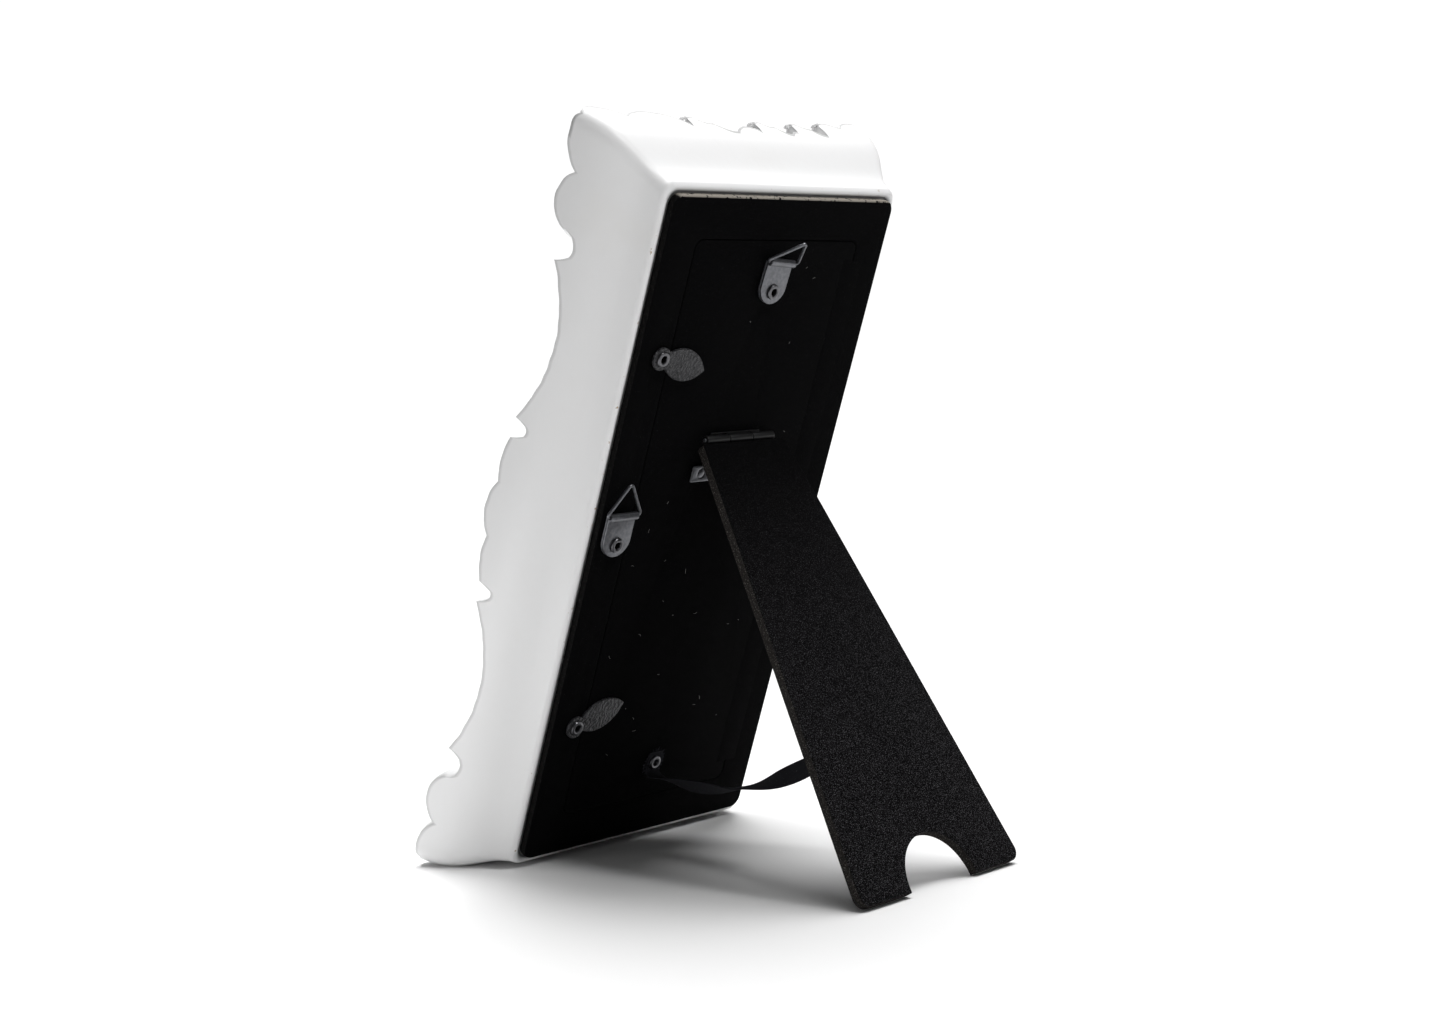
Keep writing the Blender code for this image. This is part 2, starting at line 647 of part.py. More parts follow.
def make_turned_solid(name, profile, parent, location, segments=20):
    """Turn an open profile that starts and ends on the axis."""
    mesh = bpy.data.meshes.new(name)
    shape = bmesh.new()
    verts = [shape.verts.new((radius, 0.0, height)) for radius, height in profile]
    for first, second in zip(verts, verts[1:]):
        shape.edges.new((second, first))
    shape.to_mesh(mesh)
    shape.free()
    obj = place(bpy.data.objects.new(name, mesh), parent, location, (-math.pi / 2.0, 0.0, 0.0))
    screw = obj.modifiers.new("turn", "SCREW")
    screw.steps = segments
    screw.render_steps = segments
    screw.use_merge_vertices = True
    screw.merge_threshold = 0.00001
    return obj


def leg_outline(drop):
    """The leg's outline below its pin: narrow at the top, with a half-round notch in the foot."""
    top = -KNUCKLE_RADIUS - EDGE_GAP
    foot = -drop
    corners = [
        (Vector((LEG_TOP_WIDTH / 2.0, top)), 0.0015), (Vector((-LEG_TOP_WIDTH / 2.0, top)), 0.0015),
        (Vector((-LEG_FOOT_WIDTH / 2.0, foot)), LEG_CORNER),
    ]
    notch = []
    for i in range(17):
        angle = math.pi - math.pi * i / 16
        notch.append(Vector((NOTCH_RADIUS * math.cos(angle), foot + NOTCH_RADIUS * math.sin(angle))))
    end = (Vector((LEG_FOOT_WIDTH / 2.0, foot)), LEG_CORNER)
    ring = [corners[0], corners[1], corners[2], (notch[0], 0.0), (notch[-1], 0.0), end]
    points = []
    for i, (corner, radius) in enumerate(ring):
        if radius:
            points += rounded_corner(ring[i - 1][0], corner, ring[(i + 1) % len(ring)][0], radius)
        elif corner is notch[0]:
            points += notch
    return points


def make_leg(parent, drop, materials):
    """The easel leg and its hinge leaf, hung from the pin."""
    pivot = add_pivot("leg_pivot", parent, (0.0, hinge_offset(), HINGE_HEIGHT), (LEAN + LEG_SLOPE, 0.0, 0.0))
    leg = make_plate("easel_leg", [leg_outline(drop)], LEG_THICKNESS, pivot, (0.0, 0.0, 0.0))
    inner_face = (0.0, -LEG_THICKNESS / 2.0, -RIBBON_LEG_SHARE * drop)
    socket = make_cylinder("eyelet_socket", EYELET_BARREL + GAP, 2.0 * BOARD_THICKNESS, pivot, inner_face,
                           (math.pi / 2.0, 0.0, 0.0), cutter_collection)
    combine(leg, socket, "DIFFERENCE")
    slot_size = (HINGE_WIDTH + 2.0 * GAP, LEAF_THICKNESS + 2.0 * GAP, 2.0 * (LEAF_DEPTH + GAP))
    slot = make_box("leaf_slot", slot_size, pivot, (0.0, 0.0, 0.0), cutter_collection)
    combine(leg, slot, "DIFFERENCE")
    finish(leg, materials["flock"])

    leaf_top = -KNUCKLE_RADIUS * 0.7
    leaf_size = (HINGE_WIDTH, LEAF_THICKNESS, LEAF_DEPTH + leaf_top)
    leaf = make_box("hinge_leaf", leaf_size, pivot, (0.0, 0.0, (leaf_top - LEAF_DEPTH) / 2.0))
    across = (0.0, math.pi / 2.0, 0.0)
    outer_width = (HINGE_WIDTH - KNUCKLE_WIDTH) / 2.0 - GAP
    for side in (-1, 1):
        x = side * (HINGE_WIDTH - outer_width) / 2.0
        knuckle = make_cylinder("leaf_knuckle", KNUCKLE_RADIUS, outer_width, pivot, (x, 0.0, 0.0), across,
                                cutter_collection)
        combine(leaf, knuckle, "UNION")
    relief_size = (KNUCKLE_WIDTH + 2.0 * GAP, LEG_THICKNESS, 2.0 * (KNUCKLE_RADIUS + GAP))
    relief = make_box("leaf_relief", relief_size, pivot, (0.0, 0.0, 0.0), cutter_collection)
    bore = make_cylinder("leaf_bore", PIN_RADIUS + PIN_CLEARANCE, HINGE_WIDTH * 1.5, pivot, (0, 0, 0), across,
                         cutter_collection)
    combine(leaf, relief, "DIFFERENCE")
    combine(leaf, bore, "DIFFERENCE")
    finish(leaf, materials["blacked_steel"])
    return pivot


# ---- ribbon stay ----

def ribbon_route(drop):
    """Centre line in the panel's YZ plane as (point, twist): flat on the door, a slack sag, flat on the leg."""
    seat = GAP + RIBBON_THICKNESS / 2.0
    opening = LEAN + LEG_SLOPE
    up_leg = Vector((-math.sin(opening), math.cos(opening)))
    inward = Vector((-math.cos(opening), -math.sin(opening)))
    down = Vector((math.sin(LEAN), -math.cos(LEAN)))
    leg_eyelet = Vector((hinge_offset(), HINGE_HEIGHT)) - up_leg * RIBBON_LEG_SHARE * drop
    leg_seat = leg_eyelet + inward * (LEG_THICKNESS / 2.0 + seat)
    door_seat = Vector((seat, RIBBON_DOOR_Z))
    flat = EYELET_FLANGE + 0.0022
    start = door_seat + Vector((0.0024, -flat - 0.0016))
    end = leg_seat - up_leg * (flat + 0.0016) + inward * 0.0024
    route = [(door_seat + Vector((0.0, z)), 0.0) for z in (0.0036, 0.0, -flat)]
    for i in range(RIBBON_STEPS + 1):
        t = i / RIBBON_STEPS
        twist = RIBBON_TWIST * math.sin(math.pi * min(1.0, max(0.0, (t - 0.35) / 0.6))) ** 2
        route.append((start.lerp(end, t) + down * RIBBON_SAG * 4.0 * t * (1.0 - t), twist))
    route += [(leg_seat + up_leg * z, 0.0) for z in (-flat, 0.0, 0.0036)]
    return route, leg_eyelet


def make_ribbon(parent, drop, leg_pivot, materials):
    route, leg_eyelet = ribbon_route(drop)
    curve = bpy.data.curves.new("stay_ribbon", "CURVE")
    curve.dimensions = "3D"
    curve.twist_mode = "Z_UP"
    curve.extrude = RIBBON_WIDTH / 2.0 - RIBBON_THICKNESS / 2.0
    curve.bevel_depth = RIBBON_THICKNESS / 2.0
    curve.bevel_resolution = 0
    curve.use_fill_caps = True
    spline = curve.splines.new("POLY")
    spline.points.add(len(route) - 1)
    for point, (at, twist) in zip(spline.points, route):
        point.co = (0.0, at.x, at.y, 1.0)
        point.tilt = math.pi / 2.0 + twist
    source = bpy.data.objects.new("ribbon_line", curve)
    bpy.context.scene.collection.objects.link(source)
    bpy.context.view_layer.update()
    mesh = bpy.data.meshes.new_from_object(source.evaluated_get(bpy.context.evaluated_depsgraph_get()))
    bpy.data.objects.remove(source, do_unlink=True)
    shape = bmesh.new()
    shape.from_mesh(mesh)
    bmesh.ops.remove_doubles(shape, verts=shape.verts, dist=0.000005)
    shape.to_mesh(mesh)
    shape.free()
    ribbon = place(bpy.data.objects.new("stay_ribbon", mesh), parent)
    hole = EYELET_BARREL + GAP
    leg_turn = (LEAN + LEG_SLOPE + math.pi / 2.0, 0.0, 0.0)
    for name, at, turn in (("door", (0.0, RIBBON_DOOR_Z), (math.pi / 2.0, 0.0, 0.0)), ("leg", leg_eyelet, leg_turn)):
        spot = (0.0, at[0], at[1])
        cutter = make_cylinder("ribbon_hole_" + name, hole, 0.006, parent, spot, turn, cutter_collection)
        combine(ribbon, cutter, "DIFFERENCE")
    finish(ribbon, materials["flock"])
    stack = GAP + RIBBON_THICKNESS
    make_eyelet("ribbon_eyelet_door", parent, 0.0, RIBBON_DOOR_Z, stack, materials["steel"])
    seat = add_pivot("ribbon_leg_seat", leg_pivot, (0.0, -LEG_THICKNESS / 2.0, -RIBBON_LEG_SHARE * drop),
                     (0.0, 0.0, math.pi))
    make_eyelet("ribbon_eyelet_leg", seat, 0.0, 0.0, stack, materials["steel"])


def main():
    start_scene()
    materials = {
        "resin": make_material("cast_resin", (0.84, 0.84, 0.83), 0.42),
        "flock": make_material("black_flock", (0.012, 0.012, 0.014), 0.95),
        "card": make_material("grey_card", (0.36, 0.33, 0.29), 0.9),
        "paper": make_material("photo_paper", (0.78, 0.76, 0.72), 0.45),
        "glass": make_material("clear_glass", (0.95, 0.97, 0.97), 0.03, alpha=0.25),
        "steel": make_material("zinc_steel", (0.62, 0.62, 0.63), 0.32, 0.95),
        "hammered": make_material("hammered_steel", (0.17, 0.17, 0.175), 0.45, 0.85),
        "blacked_steel": make_material("blacked_steel", (0.02, 0.02, 0.022), 0.3, 0.6),
    }
    stand = add_pivot("frame_stand", None, (0.0, 0.0, 0.0))
    moulding = make_moulding(stand, materials["resin"])
    drop = stand_up(stand, moulding)
    make_contents(stand, materials)
    make_back(stand, materials)
    make_turn_buttons(stand, materials)
    make_hangers(stand, materials)
    make_hinge_base(stand, materials)
    leg_pivot = make_leg(stand, drop, materials)
    make_ribbon(stand, drop, leg_pivot, materials)
    print("stand", tuple(stand.location), "leg", drop)


main()
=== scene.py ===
import math
import random

import bpy
import numpy as np
from mathutils import Matrix, Vector, noise


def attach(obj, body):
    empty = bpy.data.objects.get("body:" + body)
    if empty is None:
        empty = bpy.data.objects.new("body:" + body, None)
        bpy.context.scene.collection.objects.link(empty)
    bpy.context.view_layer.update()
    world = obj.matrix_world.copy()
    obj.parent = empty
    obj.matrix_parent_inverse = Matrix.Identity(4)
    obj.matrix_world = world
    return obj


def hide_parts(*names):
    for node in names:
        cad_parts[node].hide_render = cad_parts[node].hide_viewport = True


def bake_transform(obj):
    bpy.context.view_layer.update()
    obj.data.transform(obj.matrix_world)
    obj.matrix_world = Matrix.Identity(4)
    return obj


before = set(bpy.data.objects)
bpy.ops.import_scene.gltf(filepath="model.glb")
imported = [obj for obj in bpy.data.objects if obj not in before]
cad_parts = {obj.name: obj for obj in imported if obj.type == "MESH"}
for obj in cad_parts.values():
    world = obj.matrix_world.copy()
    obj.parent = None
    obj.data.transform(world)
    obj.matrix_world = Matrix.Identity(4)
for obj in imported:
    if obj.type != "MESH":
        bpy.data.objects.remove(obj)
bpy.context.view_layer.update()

# Where the frame stands, and the spaces its pieces are drawn in: X across, Y out of the back, Z up
stand = {
    "lean": math.radians(20.9),
    "place": (0.0, -0.0066638, 0.1000040),  # middle of the board's rear face
    "legOpening": math.radians(49.8),
    "pin": (0.0, 0.0025, 0.0305),
}
panel = Matrix.Translation(stand["place"]) @ Matrix.Rotation(-stand["lean"], 4, "X")
legSpace = panel @ Matrix.Translation(stand["pin"]) @ Matrix.Rotation(stand["legOpening"], 4, "X")
upright = Matrix.Rotation(math.pi / 2.0, 4, "X")  # a flat XY drawing stood up in XZ
outOfBack = Matrix.Rotation(-math.pi / 2.0, 4, "X")  # Z of a turned piece points out of the back

board = {"width": 0.098, "height": 0.208, "thickness": 0.0025, "corner": 0.0036,
         "hole": 0.0018,  # for an eyelet's barrel
         "air": 0.0003}  # between the cloth and what is fixed on it


# ---- materials ----

def newMaterial(name, color, roughness, metallic=0.0):
    material = bpy.data.materials.new(name)
    material.use_nodes = True
    shader = material.node_tree.nodes["Principled BSDF"]
    shader.inputs["Base Color"].default_value = (*color, 1.0)
    shader.inputs["Roughness"].default_value = roughness
    shader.inputs["Metallic"].default_value = metallic
    return material, material.node_tree, shader


def addNode(tree, kind, **inputs):
    node = tree.nodes.new(kind)
    for name, value in inputs.items():
        node.inputs[name.replace("_", " ")].default_value = value
    return node


def addMath(tree, operation, first, second=0.5, clamp=False):
    node = tree.nodes.new("ShaderNodeMath")
    node.operation = operation
    node.use_clamp = clamp
    for socket, value in zip(node.inputs, (first, second)):
        if isinstance(value, (int, float)):
            socket.default_value = value
        else:
            tree.links.new(value, socket)
    return node.outputs[0]


def addRamp(tree, value, low, high):
    node = tree.nodes.new("ShaderNodeMapRange")
    node.interpolation_type = "SMOOTHSTEP"
    node.inputs["From Min"].default_value = low
    node.inputs["From Max"].default_value = high
    tree.links.new(value, node.inputs["Value"])
    return node.outputs["Result"]


def colorSocket(node, name):
    return [socket for socket in node.inputs if socket.name == name and socket.type == "RGBA"][0]


def mixColors(tree, factor, first, second):
    node = tree.nodes.new("ShaderNodeMix")
    node.data_type = "RGBA"
    if isinstance(factor, float):
        node.inputs["Factor"].default_value = factor
    else:
        tree.links.new(factor, node.inputs["Factor"])
    for name, value in (("A", first), ("B", second)):
        socket = colorSocket(node, name)
        if isinstance(value, tuple):
            socket.default_value = (*value, 1.0)
        else:
            tree.links.new(value, socket)
    return [socket for socket in node.outputs if socket.type == "RGBA"][0]


def objectNoise(tree, scale, detail=2.0, kind="ShaderNodeTexNoise"):
    place = tree.nodes.new("ShaderNodeTexCoord")
    node = tree.nodes.new(kind)
    node.inputs["Scale"].default_value = scale
    if "Detail" in node.inputs:
        node.inputs["Detail"].default_value = detail
    tree.links.new(place.outputs["Object"], node.inputs["Vector"])
    return node


def addBump(tree, shader, height, strength, distance):
    bump = addNode(tree, "ShaderNodeBump", Strength=strength, Distance=distance)
    tree.links.new(height, bump.inputs["Height"])
    tree.links.new(bump.outputs["Normal"], shader.inputs["Normal"])


def makeWearGroup():
    # patchy wear: where the mesh marks an edge and the noise agrees
    group = bpy.data.node_groups.new("edgeWear", "ShaderNodeTree")
    group.interface.new_socket("Edge", in_out="INPUT", socket_type="NodeSocketFloat")
    group.interface.new_socket("Scale", in_out="INPUT", socket_type="NodeSocketFloat")
    group.interface.new_socket("Cover", in_out="INPUT", socket_type="NodeSocketFloat")
    group.interface.new_socket("Mask", in_out="OUTPUT", socket_type="NodeSocketFloat")
    source = group.nodes.new("NodeGroupInput")
    result = group.nodes.new("NodeGroupOutput")
    place = group.nodes.new("ShaderNodeTexCoord")
    patches = addNode(group, "ShaderNodeTexNoise", Detail=3.0)
    group.links.new(place.outputs["Object"], patches.inputs["Vector"])
    group.links.new(source.outputs["Scale"], patches.inputs["Scale"])
    limit = addMath(group, "SUBTRACT", 1.0, source.outputs["Cover"])
    above = addMath(group, "SUBTRACT", patches.outputs["Fac"], limit)
    sharp = addMath(group, "MULTIPLY", above, 30.0, clamp=True)
    mask = addMath(group, "MULTIPLY", sharp, source.outputs["Edge"], clamp=True)
    group.links.new(mask, result.inputs["Mask"])
    return group


def makeNapGroup():
    # flock: short fibres, with brighter specks of lint
    group = bpy.data.node_groups.new("flockNap", "ShaderNodeTree")
    group.interface.new_socket("Scale", in_out="INPUT", socket_type="NodeSocketFloat")
    group.interface.new_socket("Specks", in_out="INPUT", socket_type="NodeSocketFloat")
    group.interface.new_socket("Speck", in_out="OUTPUT", socket_type="NodeSocketFloat")
    group.interface.new_socket("Height", in_out="OUTPUT", socket_type="NodeSocketFloat")
    source = group.nodes.new("NodeGroupInput")
    result = group.nodes.new("NodeGroupOutput")
    place = group.nodes.new("ShaderNodeTexCoord")
    fibres = addNode(group, "ShaderNodeTexNoise", Detail=3.0)
    group.links.new(place.outputs["Object"], fibres.inputs["Vector"])
    group.links.new(source.outputs["Scale"], fibres.inputs["Scale"])
    limit = addMath(group, "SUBTRACT", 1.0, source.outputs["Specks"])
    above = addMath(group, "SUBTRACT", fibres.outputs["Fac"], limit)
    speck = addMath(group, "MULTIPLY", above, 9.0, clamp=True)
    group.links.new(speck, result.inputs["Speck"])
    group.links.new(fibres.outputs["Fac"], result.inputs["Height"])
    return group


wearGroup = makeWearGroup()
napGroup = makeNapGroup()


def placeGroup(tree, group, **values):
    node = tree.nodes.new("ShaderNodeGroup")
    node.node_tree = group
    for name, value in values.items():
        if isinstance(value, (int, float)):
            node.inputs[name].default_value = value
        else:
            tree.links.new(value, node.inputs[name])
    return node


def edgeMark(tree, name="edgeMark"):
    mark = tree.nodes.new("ShaderNodeAttribute")
    mark.attribute_name = name
    return mark.outputs["Fac"]


def makeResin():
    look = {"white": (0.75, 0.75, 0.752), "grime": (0.68, 0.665, 0.64), "chip": (0.36, 0.28, 0.19),
            "shade": (0.07, 0.07, 0.07)}
    material, tree, shader = newMaterial("castResin", look["white"], 0.42)
    broad = objectNoise(tree, 45.0, 4.0)
    grime = addMath(tree, "MULTIPLY", addRamp(tree, broad.outputs["Fac"], 0.55, 0.85), 0.25)
    base = mixColors(tree, grime, look["white"], look["grime"])
    # painted shade: where the shade attribute is set, the white turns towards a dark grey, both in the gap beside the
    # board and as a thin outline along the cut edge
    base = mixColors(tree, edgeMark(tree, "shade"), base, look["shade"])
    chips = placeGroup(tree, wearGroup, Edge=edgeMark(tree), Scale=520.0, Cover=0.33)
    tree.links.new(mixColors(tree, chips.outputs["Mask"], base, look["chip"]), shader.inputs["Base Color"])
    addBump(tree, shader, objectNoise(tree, 260.0, 3.0).outputs["Fac"], 0.12, 0.0004)
    return material


def makeFlock(name, black, lint, scale, specks, sheen, edge, fade=None):
    material, tree, shader = newMaterial(name, black, 0.93)
    shader.inputs["Specular IOR Level"].default_value = 0.03
    shader.inputs["Sheen Weight"].default_value = sheen
    shader.inputs["Sheen Roughness"].default_value = 0.45
    shader.inputs["Sheen Tint"].default_value = (0.5, 0.5, 0.52, 1.0)
    nap = placeGroup(tree, napGroup, Scale=scale, Specks=specks)
    speck = nap.outputs["Speck"]
    # painted light: the specks fade out towards the top and show fully at the foot, standing in for light bounced up
    # from the floor; the specks themselves are lint
    if fade:
        place = tree.nodes.new("ShaderNodeTexCoord")
        split = tree.nodes.new("ShaderNodeSeparateXYZ")
        tree.links.new(place.outputs["Object"], split.inputs["Vector"])
        speck = addMath(tree, "MULTIPLY", speck, addRamp(tree, split.outputs["Z"], *fade))
    base = mixColors(tree, speck, black, lint)
    worn = placeGroup(tree, wearGroup, Edge=edgeMark(tree), Scale=700.0, Cover=0.62)
    tree.links.new(mixColors(tree, worn.outputs["Mask"], base, edge), shader.inputs["Base Color"])
    addBump(tree, shader, nap.outputs["Height"], 0.6, 0.00025)
    return material


def makeMetal(name, color, roughness, metallic, scale, strength, distance):
    material, tree, shader = newMaterial(name, color, roughness, metallic)
    grain = objectNoise(tree, scale, 2.0)
    shade = addRamp(tree, grain.outputs["Fac"], 0.3, 0.75)
    darker = tuple(c * 0.72 for c in color)
    tree.links.new(mixColors(tree, shade, darker, color), shader.inputs["Base Color"])
    addBump(tree, shader, grain.outputs["Fac"], strength, distance)
    return material


def makeGlass():
    material, _, shader = newMaterial("clearGlass", (1.0, 1.0, 1.0), 0.02)
    shader.inputs["Transmission Weight"].default_value = 1.0
    shader.inputs["IOR"].default_value = 1.46
    return material


def makeMaterials():
    flockBlack = (0.0016, 0.0016, 0.0018)
    flockEdge = (0.045, 0.038, 0.032)
    boardEdge = (0.26, 0.24, 0.21)
    return {
        "resin": makeResin(),
        "flock": makeFlock("blackFlock", flockBlack, (0.028, 0.028, 0.03), 3600.0, 0.33, 0.0, boardEdge),
        # the leg's specks fade out upward: painted light from the floor
        "legFlock": makeFlock("legFlock", flockBlack, (0.10, 0.097, 0.104), 4200.0, 0.45, 0.0, flockEdge,
                              (0.15, 0.0)),
        "cutEdge": makeFlock("cutEdge", (0.005, 0.005, 0.005), (0.03, 0.029, 0.028), 2800.0, 0.42, 0.0, boardEdge),
        "legEdge": makeFlock("legEdge", (0.018, 0.0165, 0.0155), (0.10, 0.094, 0.088), 3200.0, 0.44, 0.0, flockEdge),
        "ribbon": makeFlock("blackRibbon", (0.018, 0.018, 0.021), (0.16, 0.16, 0.17), 2600.0, 0.33, 0.02, flockEdge),
        "steel": makeMetal("zincSteel", (0.15, 0.153, 0.165), 0.36, 0.9, 900.0, 0.12, 0.0001),
        "eyelet": makeMetal("eyeletSteel", (0.13, 0.13, 0.138), 0.28, 1.0, 1200.0, 0.10, 0.0001),
        "hammered": makeMetal("hammeredSteel", (0.040, 0.040, 0.043), 0.40, 0.6, 1000.0, 1.0, 0.0012),
        "blackSteel": makeMetal("blackedSteel", (0.005, 0.005, 0.0055), 0.46, 0.4, 1200.0, 0.1, 0.0001),
        "card": makeMetal("greyCard", (0.34, 0.31, 0.27), 0.9, 0.0, 900.0, 0.3, 0.0002),
        "paper": makeMetal("photoPaper", (0.74, 0.73, 0.71), 0.38, 0.0, 3000.0, 0.0, 0.0001),
        "glass": makeGlass(),
        "lint": newMaterial("lint", (0.22, 0.22, 0.21), 0.9)[0],
    }


looks = makeMaterials()
print("materials ready")


# ---- ways of making and placing a piece ----

def deselectAll():
    for obj in bpy.context.selected_objects:
        obj.select_set(False)


def select(*objs):
    deselectAll()
    for obj in objs:
        obj.select_set(True)
    bpy.context.view_layer.objects.active = objs[0]


def settle(obj, space):
    # the place goes into the mesh and the object stays at the origin
    bpy.context.view_layer.update()
    obj.data.transform(space @ obj.matrix_world)
    obj.matrix_world = Matrix.Identity(4)


def dress(obj, material, body, nodes=(), angle=35.0):
    obj.data.materials.clear()
    obj.data.materials.append(material)
    select(obj)
    bpy.ops.object.shade_smooth_by_angle(angle=math.radians(angle))
    deselectAll()
    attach(obj, body)
    if nodes:
        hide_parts(*nodes)
    return obj


def cleanMesh(obj, distance=0.000004):
    select(obj)
    bpy.ops.object.mode_set(mode="EDIT")
    bpy.ops.mesh.select_all(action="SELECT")
    bpy.ops.mesh.remove_doubles(threshold=distance)
    bpy.ops.mesh.normals_make_consistent(inside=False)
    bpy.ops.object.mode_set(mode="OBJECT")
    deselectAll()


def curveObject(name, lines, cyclic, dimensions="3D"):
    curve = bpy.data.curves.new(name, "CURVE")
    curve.dimensions = dimensions
    for line in lines:
        spline = curve.splines.new("POLY")
        spline.points.add(len(line) - 1)
        for point, at in zip(spline.points, line):
            point.co = (*at, 0.0, 1.0) if len(at) == 2 else (*at, 1.0)
        spline.use_cyclic_u = cyclic
    obj = bpy.data.objects.new(name, curve)
    bpy.context.scene.collection.objects.link(obj)
    return obj


def toMesh(obj):
    select(obj)
    bpy.ops.object.convert(target="MESH")
    obj = bpy.context.view_layer.objects.active
    cleanMesh(obj)
    return obj


def platePiece(name, lines, thickness, edge, space):
    # a flat plate with rounded edges, centred on its own thickness
    obj = curveObject(name, lines, True, "2D")
    curve = obj.data
    curve.fill_mode = "BOTH"
    curve.extrude = thickness / 2.0 - edge
    curve.bevel_depth = edge
    curve.bevel_resolution = 2
    curve.offset = -edge
    obj = toMesh(obj)
    settle(obj, space @ upright)
    return obj


def turnedPiece(name, profile, space, closed=True, steps=40):
    mesh = bpy.data.meshes.new(name)
    count = len(profile)
    edges = [(i, (i + 1) % count) for i in range(count if closed else count - 1)]
    mesh.from_pydata([(radius, 0.0, height) for radius, height in profile], edges, [])
    obj = bpy.data.objects.new(name, mesh)
    bpy.context.scene.collection.objects.link(obj)
    select(obj)
    turn = obj.modifiers.new("turn", "SCREW")
    turn.steps = steps
    turn.render_steps = steps
    turn.use_merge_vertices = True
    turn.merge_threshold = 0.00001
    bpy.ops.object.modifier_apply(modifier=turn.name)
    cleanMesh(obj)
    settle(obj, space)
    return obj


def rod(name, radius, length, space, vertices=32, edge=0.0):
    # a cylinder lying along X
    deselectAll()
    bpy.ops.mesh.primitive_cylinder_add(vertices=vertices, radius=radius, depth=length, rotation=(0, math.pi / 2, 0))
    obj = bpy.context.object
    obj.name = name
    if edge:
        softenEdges(obj, edge)
    settle(obj, space)
    return obj


def block(name, size, place, space, edge=0.0):
    deselectAll()
    bpy.ops.mesh.primitive_cube_add(size=1.0, location=place, scale=size)
    obj = bpy.context.object
    obj.name = name
    bpy.ops.object.transform_apply(location=False, rotation=False, scale=True)
    if edge:
        softenEdges(obj, edge)
    settle(obj, space)
    return obj


def softenEdges(obj, width, segments=3):
    select(obj)
    bevel = obj.modifiers.new("softEdges", "BEVEL")
    bevel.width = width
    bevel.segments = segments
    bevel.limit_method = "ANGLE"
    bevel.angle_limit = math.radians(40.0)
    bpy.ops.object.modifier_apply(modifier=bevel.name)


def joinAll(objs):
    select(*objs)
    bpy.ops.object.join()
    deselectAll()
    return objs[0]


def circleLine(x, y, radius, count=40):
    turns = [2.0 * math.pi * i / count for i in range(count)]
    return [(x + radius * math.cos(t), y + radius * math.sin(t)) for t in turns]


def roundedLine(corners, radii, segments=8):
    # a polygon with a fillet at each corner
    line = []
    count = len(corners)
    for i, (corner, radius) in enumerate(zip(corners, radii)):
        corner = Vector(corner)
        back = (Vector(corners[i - 1]) - corner).normalized()
        ahead = (Vector(corners[(i + 1) % count]) - corner).normalized()
        if not radius:
            line.append(tuple(corner))
            continue
        half = back.angle(ahead) / 2.0
        centre = corner + (back + ahead).normalized() * radius / math.sin(half)
        first = corner + back * radius / math.tan(half) - centre
        last = corner + ahead * radius / math.tan(half) - centre
        turn = -first.angle_signed(last)
        for k in range(segments + 1):
            a = turn * k / segments
            line.append((centre.x + first.x * math.cos(a) - first.y * math.sin(a),
                         centre.y + first.x * math.sin(a) + first.y * math.cos(a)))
    return line


def rectangleLine(width, height, radius):
    corners = [(sx * width / 2.0, sy * height / 2.0) for sx, sy in ((1, -1), (1, 1), (-1, 1), (-1, -1))]
    return roundedLine(corners, [radius] * 4)


def arcLine(start, end, bulge, step):
    # from start to just before end, standing bulge to the right of the chord
    start, end = Vector(start), Vector(end)
    chord = end - start
    length = chord.length
    count = max(2, round(length / step))
    if abs(bulge) < 0.00005:
        return [tuple(start.lerp(end, i / count)) for i in range(count)]
    side = Vector((chord.y, -chord.x)) / length * math.copysign(1.0, bulge)
    radius = (length * length / 4.0 + bulge * bulge) / (2.0 * abs(bulge))
    halfAngle = math.asin(min(1.0, length / 2.0 / radius))
    line = []
    for i in range(count):
        angle = -halfAngle + 2.0 * halfAngle * i / count
        out = abs(bulge) - radius * (1.0 - math.cos(angle))
        at = (start + end) / 2.0 + chord / length * radius * math.sin(angle) + side * out
        line.append(tuple(at))
    return line


def markEdges(obj, test):
    # remember which points the wear may reach
    mark = obj.data.attributes.new("edgeMark", "FLOAT", "POINT")
    back = panel.inverted()
    for i, vert in enumerate(obj.data.vertices):
        mark.data[i].value = test(back @ vert.co)


# ---- cast surround ----

